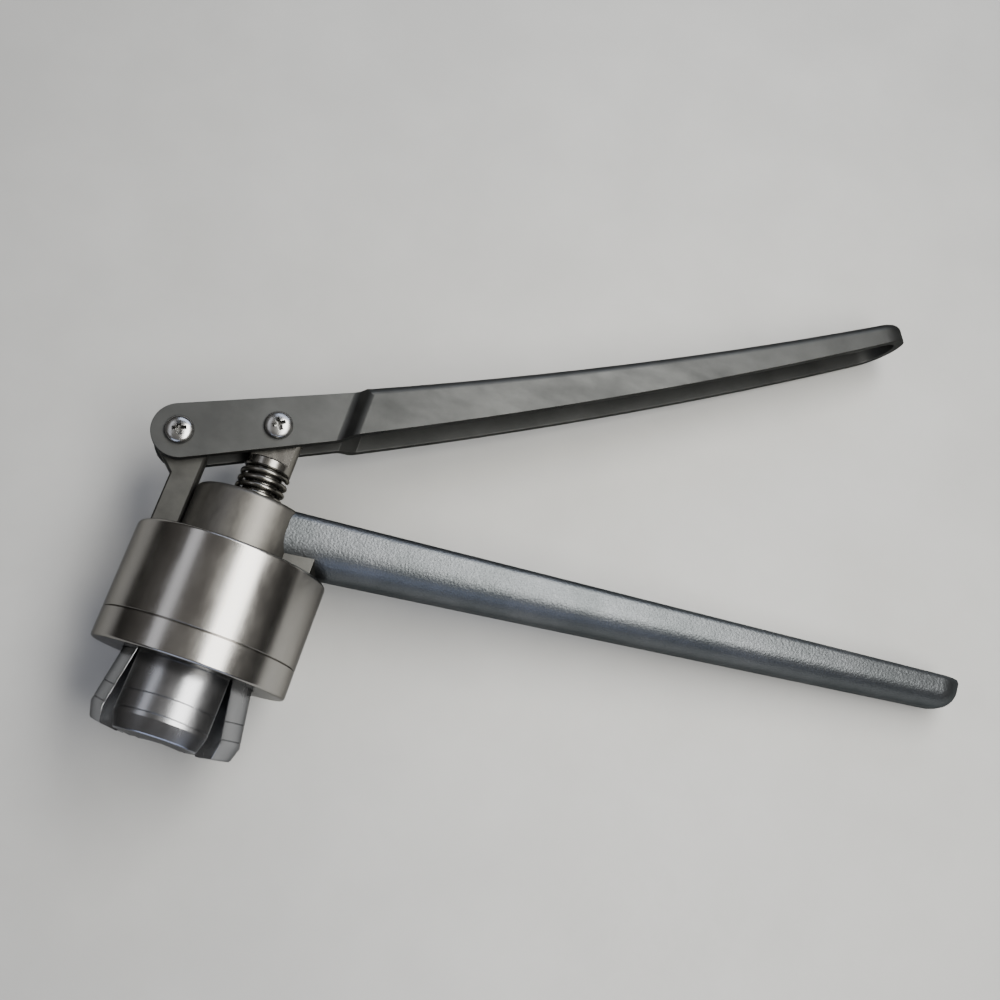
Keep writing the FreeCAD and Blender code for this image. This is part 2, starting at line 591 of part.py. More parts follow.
def cheek_edges(end_x):
    """The cheeks' outline: a round end about the pivot, and two sides that converge a little."""
    reach = (JOGGLE_X - PIVOT.x) / math.cos(LEVER_ANGLE)
    top_a, top_b = along_cheek(0, CHEEK_END_R), along_cheek(reach + CHEEK_TOP_PAST, CHEEK_TOP_END)
    low_a, low_b = along_cheek(0, -CHEEK_END_R), along_cheek(reach - CHEEK_LOW_SHORT, -CHEEK_BOTTOM_END)
    top_c, low_c = at_x(top_a, top_b, end_x), at_x(low_a, low_b, end_x)
    left = along_cheek(-CHEEK_END_R, 0)
    arc = Part.Arc(V(*low_a, 0), V(*left, 0), V(*top_a, 0)).toShape()
    lines = [Part.makeLine(V(*a, 0), V(*b, 0)) for a, b in ((top_a, top_c), (top_c, low_c), (low_c, low_a))]
    return [arc] + lines, top_c, low_c


def bowed(start, end, sag):
    """An arc from start to end that passes sag below the middle of its chord."""
    chord = end - start
    down = V(chord.y, -chord.x, 0).normalize()
    return Part.Arc(start, (start + end) * 0.5 + down * sag, end).toShape()


def grip_corners(inset=0.0, short=0.0):
    """The grip's four corners, top and bottom at the joggle and at the tip, and the way its chord runs.

    The upper side can be lowered by an inset, and the tip drawn back.
    """
    x0 = JOGGLE_X + JOGGLE_LENGTH
    _, top_c, low_c = cheek_edges(x0)
    top_0, low_0 = V(*top_c, 0), V(*low_c, 0)
    top_1 = V(GRIP_END_X, BELL_TOP_Y + GRIP_END_RISE, 0)
    ahead = (top_1 - top_0).normalize()
    drop = V(ahead.y, -ahead.x, 0)
    low_1 = top_1 + drop * GRIP_END_HEIGHT - ahead * short
    return [top_0 + drop * inset, low_0, low_1, top_1 + drop * inset - ahead * short], ahead


def end_corners(shape, half, middle, ahead):
    """The upright edges at the flat end whose middle is given, at half the shape's width to either side."""
    return edges_where(shape, lambda m, e: abs(abs(m.z) - half) < EXACT
                       and abs((m - middle).dot(ahead)) < GRIP_WALL / 2)


def is_upright(edge, across):
    """True for an edge of the tip that runs from the upper side to the lower one."""
    ends = [v.Point for v in edge.Vertexes]
    return (len(ends) == 2 and edge.Length < 2 * GRIP_END_HEIGHT
            and abs((ends[1] - ends[0]).dot(across)) > GRIP_END_HEIGHT / 2)


def grip_block():
    """The grip's outside: bowed upper and lower sides, a tip round from above, and rounded upper edges."""
    (top_0, low_0, low_1, top_1), ahead = grip_corners()
    outline = [bowed(top_0, top_1, GRIP_SAG), Part.makeLine(top_1, low_1), bowed(low_1, low_0, -GRIP_SAG),
               Part.makeLine(low_0, top_0)]
    block = prism(outline, GRIP_HALF)
    block = block.makeFillet(GRIP_TIP_ROUND, end_corners(block, GRIP_HALF, (top_1 + low_1) * 0.5, ahead))
    middle = (top_0 + low_1) * 0.5
    across = V(-ahead.y, ahead.x, 0)
    upper = edges_where(block, lambda m, e: (m - middle).dot(across) > 0 and m.x > top_0.x + PAST
                        and e.Length > GRIP_HALF - GRIP_TIP_ROUND and not is_upright(e, across))
    return block.makeFillet(GRIP_EDGE, upper)


def grip_channel():
    """The hollow under the grip, open below and closed at the tip."""
    (top_0, _, _, top_1), ahead = grip_corners(GRIP_SPINE, GRIP_TIP_WALL)
    deep = V(ahead.y, -ahead.x, 0) * BELL_R
    below_1, below_0 = top_1 + deep, top_0 + deep
    outline = [bowed(top_0, top_1, GRIP_SAG), Part.makeLine(top_1, below_1), Part.makeLine(below_1, below_0),
               Part.makeLine(below_0, top_0)]
    half = GRIP_HALF - GRIP_WALL
    hollow = prism(outline, half)
    ends = end_corners(hollow, half, (top_1 + below_1) * 0.5, ahead)
    return hollow.makeFillet(GRIP_TIP_ROUND - GRIP_WALL, ends)


def joggle(half_0, half_1, inset, deep):
    """The step in width between fork and grip, as a loft between two upright rectangles."""
    wires = []
    for x, half in ((JOGGLE_X, half_0), (JOGGLE_X + JOGGLE_LENGTH, half_1)):
        _, top, low = cheek_edges(x)
        high, base = top[1] - inset, low[1] - deep
        corners = [V(x, high, -half), V(x, high, half), V(x, base, half), V(x, base, -half)]
        wires.append(Part.makePolygon(corners + corners[:1]))
    return Part.makeLoft(wires, True, True)


def upper_handle():
    """The forked handle: two cheeks, a joggle out to the grip, and a channel under the grip."""
    edges, _, _ = cheek_edges(JOGGLE_X)
    fork = prism(edges, FORK_HALF)
    body = fork.fuse([joggle(FORK_HALF, GRIP_HALF, 0, 0), grip_block()]).removeSplitter()
    body = body.cut(grip_channel()).cut(joggle(FORK_GAP / 2, GRIP_HALF - GRIP_WALL, GRIP_SPINE, BELL_R))
    start = along_cheek(SPINE_START, 0)[0]
    body = body.cut(box(PIVOT.x - BELL_R, start, 0, 2 * PIVOT.y, FORK_GAP / 2))
    _, top_a, _ = cheek_edges(start)
    _, top_b, _ = cheek_edges(JOGGLE_X)
    under = prism(polygon([(start - PAST, 0), (JOGGLE_X + PAST, 0), (JOGGLE_X + PAST, top_b[1] - GRIP_SPINE),
                           (start - PAST, top_a[1] - GRIP_SPINE)]), FORK_GAP / 2)
    body = body.cut(under)
    for pin in (PIVOT, LINK):
        body = body.cut(cross(PIN_R, -GRIP_HALF, GRIP_HALF, pin.x, pin.y))
    return body


# ---------------------------------------------------------------- pins, screws, washers

def pin(place):
    """A drilled pin through both cheeks, flush with their outer faces."""
    core = cross(PIN_R, -FORK_HALF, FORK_HALF, place.x, place.y)
    for low in (-FORK_HALF, FORK_HALF - SCREW_DEPTH):
        core = core.cut(cross(SCREW_R, low, low + SCREW_DEPTH, place.x, place.y))
    return core


def screw(place, side):
    """A pan-head screw with a cross recess, seated on a cheek; side is +1 in front and -1 behind."""
    length = SCREW_DEPTH - SCREW_END_GAP
    shank = Part.makeCylinder(SCREW_R - SEAT, length, V(0, 0, -length), Z_AXIS)
    base = Part.makeCylinder(HEAD_R, HEAD_RIM, ORIGIN, Z_AXIS)
    rise = HEAD_HEIGHT - HEAD_RIM
    ball = (HEAD_R ** 2 + rise ** 2) / (2 * rise)
    dome = Part.makeSphere(ball, V(0, 0, HEAD_HEIGHT - ball)).common(
        Part.makeCylinder(HEAD_R, rise, V(0, 0, HEAD_RIM), Z_AXIS))
    head = base.fuse(dome).fuse(shank).removeSplitter()
    for turn in (0, 90):
        blade = Part.makeBox(RECESS_LENGTH, RECESS_WIDTH, RECESS_DEPTH,
                             V(-RECESS_LENGTH / 2, -RECESS_WIDTH / 2, HEAD_HEIGHT - RECESS_DEPTH))
        blade.rotate(ORIGIN, Z_AXIS, turn)
        head = head.cut(blade)
    if side < 0:
        head.rotate(ORIGIN, V(1, 0, 0), 180)
    head.translate(V(place.x, place.y, side * FORK_HALF))
    return head


def pivot_washer(side):
    """A thin washer between a cheek and the arm."""
    gap = (FORK_GAP - ARM_THICKNESS) / 2 - SIDE
    low = ARM_THICKNESS / 2 + SIDE / 2
    low = low if side > 0 else -low - gap
    ring = cross(ARM_EYE_R - EYE_WASHER_INSET, low, low + gap, PIVOT.x, PIVOT.y)
    return ring.cut(cross(PIN_R + RUN, low, low + gap, PIVOT.x, PIVOT.y))


def pieces():
    """Every piece of the tool by node name, in the tool frame."""
    found = {
        "lower_handle": lower_handle(), "side_arm": side_arm(), "boss_bush": boss_bush(),
        "bell_sleeve": bell_sleeve(), "retaining_ring": retaining_ring(), "jaw_o_ring": jaw_o_ring(),
        "spring_washer": spring_washer(), "return_spring": return_spring(),
        "plunger": plunger(), "wedge_cone": wedge_cone(), "plunger_circlip": plunger_circlip(),
        "anvil": anvil(), "anvil_lock_nut": anvil_lock_nut(),
        "upper_handle": upper_handle(), "pivot_pin": pin(PIVOT), "link_pin": pin(LINK),
    }
    found.update(jaws())
    found.update(arm_dowels())
    for name, side in (("front", 1), ("back", -1)):
        found["pivot_screw_" + name] = screw(PIVOT, side)
        found["link_screw_" + name] = screw(LINK, side)
        found["pivot_washer_" + name] = pivot_washer(side)
    return found


def main():
    """Lays the tool on the bench and writes one file per piece."""
    os.makedirs("parts", exist_ok=True)
    for name, shape in sorted(pieces().items()):
        shape.rotate(ORIGIN, Y_AXIS, LIE_DEG)
        shape.exportStep(os.path.join("parts", name + ".step"))
        print(f"{name:22s} volume {shape.Volume:9.1f} solids {len(shape.Solids)} valid {shape.isValid()}")
    print("lies at", round(LIE_DEG, 4), "deg; stroke", round(STROKE, 4), "drift", round(LINK_DRIFT, 4))
    print("pivot", PIVOT, "link", LINK, "fulcrum y", FULCRUM_Y, "bell top", BELL_TOP_Y)


main()
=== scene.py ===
"""Looks of a pliers-type hand crimper for capped vials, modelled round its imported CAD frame.

Every piece is shaped in the tool frame: the tool's axis is Y, the jaws point to -Y, the handles reach out
to +X and the mid-plane is z = 0. At the end it is tilted about Y, as the whole tool lies on the bench.
Sizes in the classes are millimetres, and Blender's own units are metres.
"""
import json
import logging
import math
from contextlib import contextmanager
from dataclasses import dataclass, field
from enum import Enum
from typing import Any, Callable, Iterator, Sequence

import bmesh
import bpy
from mathutils import Matrix, Vector

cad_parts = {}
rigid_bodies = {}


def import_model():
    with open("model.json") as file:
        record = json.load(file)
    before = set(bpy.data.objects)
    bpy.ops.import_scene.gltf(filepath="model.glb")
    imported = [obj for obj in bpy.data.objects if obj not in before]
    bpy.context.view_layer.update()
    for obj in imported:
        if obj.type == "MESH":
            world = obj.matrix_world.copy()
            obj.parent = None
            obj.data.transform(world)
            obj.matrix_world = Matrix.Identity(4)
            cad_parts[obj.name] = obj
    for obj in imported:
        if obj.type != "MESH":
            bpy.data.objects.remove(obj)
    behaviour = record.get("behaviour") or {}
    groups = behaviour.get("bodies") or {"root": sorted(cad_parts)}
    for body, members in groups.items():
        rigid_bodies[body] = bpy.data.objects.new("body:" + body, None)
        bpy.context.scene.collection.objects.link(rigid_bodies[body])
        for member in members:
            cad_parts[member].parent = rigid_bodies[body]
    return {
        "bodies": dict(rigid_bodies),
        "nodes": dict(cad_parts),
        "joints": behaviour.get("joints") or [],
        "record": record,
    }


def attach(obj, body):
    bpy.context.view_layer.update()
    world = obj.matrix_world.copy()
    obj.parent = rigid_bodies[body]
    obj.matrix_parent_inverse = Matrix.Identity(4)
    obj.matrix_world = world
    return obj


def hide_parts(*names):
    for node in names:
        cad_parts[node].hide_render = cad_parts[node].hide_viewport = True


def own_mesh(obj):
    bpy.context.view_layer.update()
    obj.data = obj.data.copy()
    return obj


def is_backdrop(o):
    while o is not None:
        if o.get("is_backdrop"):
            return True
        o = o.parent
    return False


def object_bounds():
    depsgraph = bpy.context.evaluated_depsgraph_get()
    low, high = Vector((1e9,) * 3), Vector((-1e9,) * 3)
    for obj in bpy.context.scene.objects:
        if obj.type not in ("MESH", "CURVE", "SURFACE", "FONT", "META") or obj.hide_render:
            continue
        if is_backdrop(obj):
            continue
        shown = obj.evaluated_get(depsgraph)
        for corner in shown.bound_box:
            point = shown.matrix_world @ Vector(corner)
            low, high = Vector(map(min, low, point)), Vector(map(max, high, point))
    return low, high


LOG = logging.getLogger("crimper")
MM = 0.001
WHOLE_TURN = 2 * math.pi
SAME_PLACE = 2e-6                 # metres within which two corners are one
TONE_SPAN = (0.35, 0.65)          # a noise's values at which the first and the second tone are full
GLOSS_SPAN = (0.3, 0.7)           # a noise's values at which the roughness reaches its ends
GLOSSIEST = 0.02
NOISE_ROUGHNESS = 0.6
Outline = Sequence[tuple[float, float]]
Station = tuple[tuple[float, float], tuple[float, float], float]


class Element(Enum):
    """Kinds of mesh element that can be picked in edit mode."""

    VERT = "verts"
    EDGE = "edges"
    FACE = "faces"


class Joining(Enum):
    """Ways to put two workpieces together."""

    UNION = "UNION"
    DIFFERENCE = "DIFFERENCE"


# ---------------------------------------------------------------- finishes

def linear(hex_colour: str) -> tuple[float, float, float, float]:
    """Turns an sRGB colour into the linear one that a shader takes.

    Args:
        hex_colour: Six hexadecimal digits after a number sign.

    Returns:
        Linear red, green, blue and an alpha of 1.
    """
    parts = [int(hex_colour[i:i + 2], 16) / 255 for i in (1, 3, 5)]
    red, green, blue = [c / 12.92 if c <= 0.04045 else ((c + 0.055) / 1.055) ** 2.4 for c in parts]
    return red, green, blue, 1.0


def per_metre(size: float) -> float:
    """Scale of a pattern on Object coordinates whose features are a size in millimetres."""
    return 1.0 / (size * MM)


def add_node(tree: bpy.types.NodeTree, kind: str, inputs: dict[str | int, Any] | None = None,
             **settings: Any) -> bpy.types.Node:
    """Adds a shader node with its settings, values and links.

    Args:
        tree: The material's node tree.
        kind: The node's type name.
        inputs: Socket names or numbers, each with a value or with the output that feeds it.
        **settings: Attributes of the node itself.

    Returns:
        The new node.
    """
    node = tree.nodes.new(kind)
    for name, value in settings.items():
        setattr(node, name, value)
    for name, value in (inputs or {}).items():
        if isinstance(value, bpy.types.NodeSocket):
            tree.links.new(value, node.inputs[name])
        else:
            node.inputs[name].default_value = value
    return node


@dataclass(frozen=True)
class Finish:
    """A surface: two tones of its colour, how rough it is, and the pattern of how it was made."""

    name: str
    colour: str
    second: str
    roughness: float
    metallic: float = 1.0
    patch_mm: float = 12.0
    bump_mm: float = 0.02
    edge_tint: str = "#8c8c8c"    # holds back grazing reflections, as on worn metal

    def material(self) -> bpy.types.Material:
        """Makes the material.

        Returns:
            A node-based material whose patterns follow the object's own coordinates.
        """
        made = bpy.data.materials.new(self.name)
        made.use_nodes = True
        tree = made.node_tree
        shader = tree.nodes["Principled BSDF"]
        shader.inputs["Metallic"].default_value = self.metallic
        shader.inputs["Roughness"].default_value = self.roughness
        shader.inputs["Specular Tint"].default_value = linear(self.edge_tint)
        made.diffuse_color = linear(self.colour)
        made.metallic = self.metallic
        made.roughness = self.roughness
        place = add_node(tree, "ShaderNodeTexCoord").outputs["Object"]
        self.paint(tree, shader, place)
        return made

    def paint(self, tree: bpy.types.NodeTree, shader: bpy.types.Node, place: bpy.types.NodeSocket) -> None:
        """Adds the colour and the relief.

        Args:
            tree: The material's node tree.
            shader: Its surface shader.
            place: Object coordinates.
        """
        patches = self.noise(tree, place, self.patch_mm, detail=4.0)
        self.tones(tree, shader, patches)

    def noise(self, tree: bpy.types.NodeTree, place: bpy.types.NodeSocket, size: float, detail: float = 2.0,
              stretch: tuple[float, float, float] = (1.0, 1.0, 1.0)) -> bpy.types.NodeSocket:
        """Adds a noise whose features have a size, drawn out along some axes.

        Args:
            tree: The material's node tree.
            place: Object coordinates.
            size: Feature size in millimetres.
            detail: Octaves of finer noise.
            stretch: How many times longer the features are along x, y and z.

        Returns:
            The noise's value, about 0.5 in the middle.
        """
        scale = tuple(1.0 / s for s in stretch)
        laid = add_node(tree, "ShaderNodeMapping", {"Vector": place, "Scale": scale})
        node = add_node(tree, "ShaderNodeTexNoise", {"Vector": laid.outputs["Vector"], "Scale": per_metre(size),
                                                     "Detail": detail, "Roughness": NOISE_ROUGHNESS})
        return node.outputs["Fac"]

    def tones(self, tree: bpy.types.NodeTree, shader: bpy.types.Node, share: bpy.types.NodeSocket) -> None:
        """Mixes the two tones by a pattern's value.

        Args:
            tree: The material's node tree.
            shader: Its surface shader.
            share: The pattern, which goes from the first tone to the second over TONE_SPAN.
        """
        ramp = add_node(tree, "ShaderNodeValToRGB", {"Fac": share})
        low, high = ramp.color_ramp.elements
        low.position, low.color = TONE_SPAN[0], linear(self.colour)
        high.position, high.color = TONE_SPAN[1], linear(self.second)
        tree.links.new(ramp.outputs["Color"], shader.inputs["Base Color"])

    def vary_gloss(self, tree: bpy.types.NodeTree, shader: bpy.types.Node, share: bpy.types.NodeSocket,
                   spread: float) -> None:
        """Lets the roughness wander about its value.

        Args:
            tree: The material's node tree.
            shader: Its surface shader.
            share: A pattern from 0 to 1.
            spread: How far the roughness goes to either side.
        """
        node = add_node(tree, "ShaderNodeMapRange", {"Value": share, "From Min": GLOSS_SPAN[0],
                                                     "From Max": GLOSS_SPAN[1],
                                                     "To Min": max(self.roughness - spread, GLOSSIEST),
                                                     "To Max": self.roughness + spread})
        tree.links.new(node.outputs["Result"], shader.inputs["Roughness"])

    def relief(self, tree: bpy.types.NodeTree, shader: bpy.types.Node,
               heights: Sequence[tuple[bpy.types.NodeSocket, float]]) -> None:
        """Stacks bumps under the shader.

        Args:
            tree: The material's node tree.
            shader: Its surface shader.
            heights: Patterns from 0 to 1, each with its strength.
        """
        normal = None
        for height, strength in heights:
            inputs = {"Height": height, "Strength": strength, "Distance": self.bump_mm * MM}
            if normal is not None:
                inputs["Normal"] = normal
            normal = add_node(tree, "ShaderNodeBump", inputs).outputs["Normal"]
        tree.links.new(normal, shader.inputs["Normal"])


@dataclass(frozen=True)
class CastPebble(Finish):
    """Grey sand casting, tumbled and clear of scale: fine round pebbles with a soft metal sheen."""

    grain_mm: float = 0.62
    bump_mm: float = 0.14
    grit_share: float = 0.45
    wave_mm: float = 5.0
    gloss_spread: float = 0.09

    def paint(self, tree: bpy.types.NodeTree, shader: bpy.types.Node, place: bpy.types.NodeSocket) -> None:
        """Adds the pebbles, the slow unevenness of the casting and its blotches.

        Args:
            tree: The material's node tree.
            shader: Its surface shader.
            place: Object coordinates.
        """
        patches = self.noise(tree, place, self.patch_mm, detail=6.0)
        self.tones(tree, shader, patches)
        pebbles = add_node(tree, "ShaderNodeTexVoronoi", {"Vector": place, "Scale": per_metre(self.grain_mm),
                                                          "Smoothness": 0.8}, feature="SMOOTH_F1")
        grit = self.noise(tree, place, self.grain_mm * self.grit_share, detail=2.0)
        self.vary_gloss(tree, shader, grit, self.gloss_spread)
        wave = self.noise(tree, place, self.wave_mm, detail=2.0)
        self.relief(tree, shader, [(pebbles.outputs["Distance"], 0.4), (grit, 0.25), (wave, 0.5)])


@dataclass(frozen=True)
class BlastedSteel(Finish):
    """Bead-blasted steel, handled smooth: an even, warm grey with a dim broad sheen."""

    grain_mm: float = 0.32
    wipe_mm: float = 2.6
    gloss_spread: float = 0.07

    def paint(self, tree: bpy.types.NodeTree, shader: bpy.types.Node, place: bpy.types.NodeSocket) -> None:
        """Adds the blasted grain and the marks of handling.

        Args:
            tree: The material's node tree.
            shader: Its surface shader.
            place: Object coordinates.
        """
        patches = self.noise(tree, place, self.patch_mm, detail=6.0)
        self.tones(tree, shader, patches)
        grain = self.noise(tree, place, self.grain_mm, detail=2.0)
        wiped = self.noise(tree, place, self.wipe_mm, detail=4.0, stretch=(6.0, 2.5, 6.0))
        self.vary_gloss(tree, shader, wiped, self.gloss_spread)
        self.relief(tree, shader, [(grain, 0.55), (wiped, 0.25)])


@dataclass(frozen=True)
class TurnedSteel(Finish):
    """Stainless steel turned in a lathe and polished: hair-fine rings round the axis and a few scratches."""

    ring_mm: float = 0.16
    ring_strength: float = 0.10
    scratch_strength: float = 0.12
    scratch_mm: float = 0.22
    scratch_span: tuple[float, float] = (0.66, 0.74)
    gloss_spread: float = 0.05

    def paint(self, tree: bpy.types.NodeTree, shader: bpy.types.Node, place: bpy.types.NodeSocket) -> None:
        """Adds the turning rings, the scratches across them and a slow change of gloss.

        Args:
            tree: The material's node tree.
            shader: Its surface shader.
            place: Object coordinates.
        """
        rings = self.noise(tree, place, self.ring_mm, detail=2.0, stretch=(90.0, 1.0, 90.0))
        hairs = self.noise(tree, place, self.scratch_mm, detail=1.0, stretch=(1.0, 60.0, 14.0))
        patches = self.noise(tree, place, self.patch_mm, detail=5.0, stretch=(1.0, 2.5, 1.0))
        self.tones(tree, shader, patches)
        self.vary_gloss(tree, shader, patches, self.gloss_spread)
        scratch = add_node(tree, "ShaderNodeMapRange", {"Value": hairs, "From Min": self.scratch_span[0],
                                                        "From Max": self.scratch_span[1]})
        self.relief(tree, shader, [(rings, self.ring_strength),
                                   (scratch.outputs["Result"], self.scratch_strength)])


@dataclass(frozen=True)
class Nitrile(Finish):
    """Moulded nitrile rubber: near black, dull and very slightly dusty."""

    metallic: float = 0.0
    edge_tint: str = "#ffffff"
    skin_mm: float = 0.3

    def paint(self, tree: bpy.types.NodeTree, shader: bpy.types.Node, place: bpy.types.NodeSocket) -> None:
        """Adds dust and a fine moulded skin.

        Args:
            tree: The material's node tree.
            shader: Its surface shader.
            place: Object coordinates.
        """
        self.tones(tree, shader, self.noise(tree, place, self.patch_mm, detail=4.0))
        self.relief(tree, shader, [(self.noise(tree, place, self.skin_mm), 0.3)])


@dataclass(frozen=True)
class Worktop(Finish):
    """Pale matt laminate with a faint mottle and a weak sheen."""

    metallic: float = 0.0
    edge_tint: str = "#ffffff"
    skin_mm: float = 1.4
    gloss_spread: float = 0.06

    def paint(self, tree: bpy.types.NodeTree, shader: bpy.types.Node, place: bpy.types.NodeSocket) -> None:
        """Adds the mottle and a soft unevenness of the sheen.

        Args:
            tree: The material's node tree.
            shader: Its surface shader.
            place: Object coordinates.
        """
        mottle = self.noise(tree, place, self.patch_mm, detail=6.0)
        self.tones(tree, shader, mottle)
        fine = self.noise(tree, place, self.skin_mm, detail=3.0)
        self.vary_gloss(tree, shader, fine, self.gloss_spread)
        self.relief(tree, shader, [(fine, 0.12)])


class Finishes:
    """The tool's finishes, each made once."""

    def __init__(self) -> None:
        """Makes all the materials."""
        self.casting = CastPebble("cast_iron_tumbled", "#5e6264", "#6c6f72", 0.43, patch_mm=18.0).material()
        self.handle = BlastedSteel("blasted_steel", "#4c4d4c", "#575857", 0.54, patch_mm=16.0).material()
        self.arm = BlastedSteel("blasted_plate", "#50504e", "#5e5e5b", 0.45, patch_mm=9.0).material()
        self.bell = TurnedSteel("polished_stainless", "#a19f9c", "#acaaa6", 0.22, patch_mm=7.0).material()
        self.boss = TurnedSteel("turned_steel", "#6f6d69", "#7c7a75", 0.47, patch_mm=3.0, ring_mm=0.3,
                                ring_strength=0.22, scratch_strength=0.3).material()
        self.jaw = TurnedSteel("mirror_stainless", "#939598", "#a1a2a5", 0.24, patch_mm=8.0,
                               ring_strength=0.05, scratch_strength=0.10).material()
        self.bright = TurnedSteel("bright_steel", "#b9b8b3", "#c6c5c0", 0.22, patch_mm=3.0).material()
        self.rod = TurnedSteel("ground_rod", "#83817d", "#92908b", 0.26, patch_mm=3.0).material()
        self.screw = BlastedSteel("plated_screw", "#a9a9a8", "#b8b8b6", 0.24, patch_mm=1.6,
                                  grain_mm=0.5, bump_mm=0.01).material()
        self.spring = BlastedSteel("spring_wire", "#77756f", "#8d8b85", 0.26, patch_mm=2.0,
                                   bump_mm=0.01).material()
        self.dark = BlastedSteel("blackened_steel", "#3a3b3d", "#46474a", 0.38, patch_mm=4.0).material()
        self.bronze = TurnedSteel("bearing_bronze", "#a8794a", "#b98a58", 0.3, patch_mm=4.0).material()
        self.nitrile = Nitrile("moulded_nitrile", "#1c1c1d", "#262627", 0.55, patch_mm=3.0).material()
        self.worktop = Worktop("pale_laminate", "#c0c0bd", "#c7c7c4", 0.52, patch_mm=45.0).material()


# ---------------------------------------------------------------- shaping

def deselect() -> None:
    """Leaves edit mode if need be, with nothing selected."""
    if bpy.context.mode != "OBJECT":
        bpy.ops.object.mode_set(mode="OBJECT")
    bpy.ops.object.select_all(action="DESELECT")


class Workpiece:
    """A mesh that is started from a primitive and shaped in edit mode; its sizes are millimetres."""

    def __init__(self, name: str) -> None:
        """Takes the primitive that was just added and puts its place into its mesh.

        Args:
            name: The piece's name.
        """
        self.obj = bpy.context.active_object
        self.obj.name = name
        self.obj.data.name = name
        bpy.ops.object.transform_apply(location=True, rotation=True, scale=True)

    @classmethod
    def circle(cls, name: str, radius: float, y: float, segments: int) -> "Workpiece":
        """A ring of edges about the tool's axis.

        Args:
            name: The piece's name.
            radius: Its radius.
            y: Its height along the axis.
            segments: Edges round it.

        Returns:
            The ring, open on both sides.
        """
        deselect()
        bpy.ops.mesh.primitive_circle_add(vertices=segments, radius=radius * MM, fill_type="NOTHING",
                                          location=(0, y * MM, 0), rotation=(math.pi / 2, 0, 0))
        return cls(name)

    @classmethod
    def block(cls, name: str, low: tuple[float, float, float],
              high: tuple[float, float, float]) -> "Workpiece":
        """A block between two corners.

        Args:
            name: The piece's name.
            low: Its lowest corner.
            high: Its highest corner.

        Returns:
            The block.
        """
        deselect()
        a, b = Vector(low), Vector(high)
        bpy.ops.mesh.primitive_cube_add(size=1, location=(a + b) * (MM / 2))
        bpy.context.active_object.scale = (b - a) * MM
        return cls(name)

    @classmethod
    def lathe(cls, name: str, outline: Outline, segments: int = 128) -> "Workpiece":
        """Turns a closed outline about the tool's axis, by drawing a ring out from corner to corner.

        Args:
            name: The piece's name.
            outline: Corners as (radius, y); a radius of 0 closes the piece on the axis.
            segments: Faces round the piece.

        Returns:
            The turned piece.
        """
        speck = 0.01
        rings = [(max(r, speck), y) for r, y in outline]
        on_axis = outline[0][0] == 0
        piece = cls.circle(name, rings[0][0], rings[0][1], segments)
        with piece.editing(Element.EDGE):
            bpy.ops.mesh.select_all(action="SELECT")
            if on_axis:
                bpy.ops.mesh.edge_face_add()
                bpy.ops.mesh.select_all(action="SELECT")
            for (r0, y0), (r1, y1) in zip(rings, rings[1:] if on_axis else rings[1:] + rings[:1]):
                bpy.ops.mesh.extrude_region_move(TRANSFORM_OT_translate={"value": (0, (y1 - y0) * MM, 0)})
                bpy.ops.transform.resize(value=(r1 / r0, 1, r1 / r0), center_override=(0, y1 * MM, 0))
            if on_axis:
                for pole in (rings[0][1], rings[-1][1]):
                    piece.pick(lambda p, y=pole: math.hypot(p.x, p.z) < 2 * speck and abs(p.y - y) < speck)
                    bpy.ops.mesh.merge(type="CENTER")
            bpy.ops.mesh.select_all(action="SELECT")
            bpy.ops.mesh.remove_doubles(threshold=SAME_PLACE)
            bpy.ops.mesh.normals_make_consistent(inside=False)
        return piece

    @classmethod
    def loft(cls, name: str, stations: Sequence[Station],
             rounds: Sequence[tuple[float, int]] = ()) -> "Workpiece":
        """Draws a four-cornered section along the tool's mid-plane.

        Args:
            name: The piece's name.
            stations: For each section its upper and lower (x, y) and half its width along z.
            rounds: Rounding and its segments for the upper and the lower corners of the first section.

        Returns:
            The closed bar.
        """
        (top, low, half) = stations[0]
        deselect()
        centre = Vector(((top[0] + low[0]) / 2, (top[1] + low[1]) / 2, 0))
        rise = Vector(top) - Vector(low)
        lean = math.atan2(low[0] - top[0], top[1] - low[1])
        bpy.ops.mesh.primitive_plane_add(size=1, location=centre * MM)
        plane = bpy.context.active_object
        plane.matrix_world = (Matrix.Translation(centre * MM) @ Matrix.Rotation(lean, 4, "Z")
                              @ Matrix.Rotation(math.pi / 2, 4, "Y"))
        plane.scale = (2 * half * MM, math.dist(top, low) * MM, 1)
        piece = cls(name)
        with piece.editing(Element.VERT):
            for (size, segments), upper in zip(rounds, (True, False)):
                piece.pick(lambda p, u=upper: ((p.xy - centre.xy).dot(rise) > 0) == u)
                bpy.ops.mesh.bevel(offset=size * MM, segments=segments, affect="VERTICES")
            bpy.ops.mesh.select_all(action="SELECT")
            for (top0, low0, half0), (top1, low1, half1) in zip(stations, stations[1:]):
                mid0, mid1 = (Vector((t[0] + b[0], t[1] + b[1], 0)) / 2
                              for t, b in ((top0, low0), (top1, low1)))
                bpy.ops.mesh.extrude_region_move(TRANSFORM_OT_translate={"value": (mid1 - mid0) * MM})
                piece.reshape(mid1, (top0, low0, half0), (top1, low1, half1))
            bpy.ops.mesh.select_all(action="SELECT")
            bpy.ops.mesh.normals_make_consistent(inside=False)
        return piece

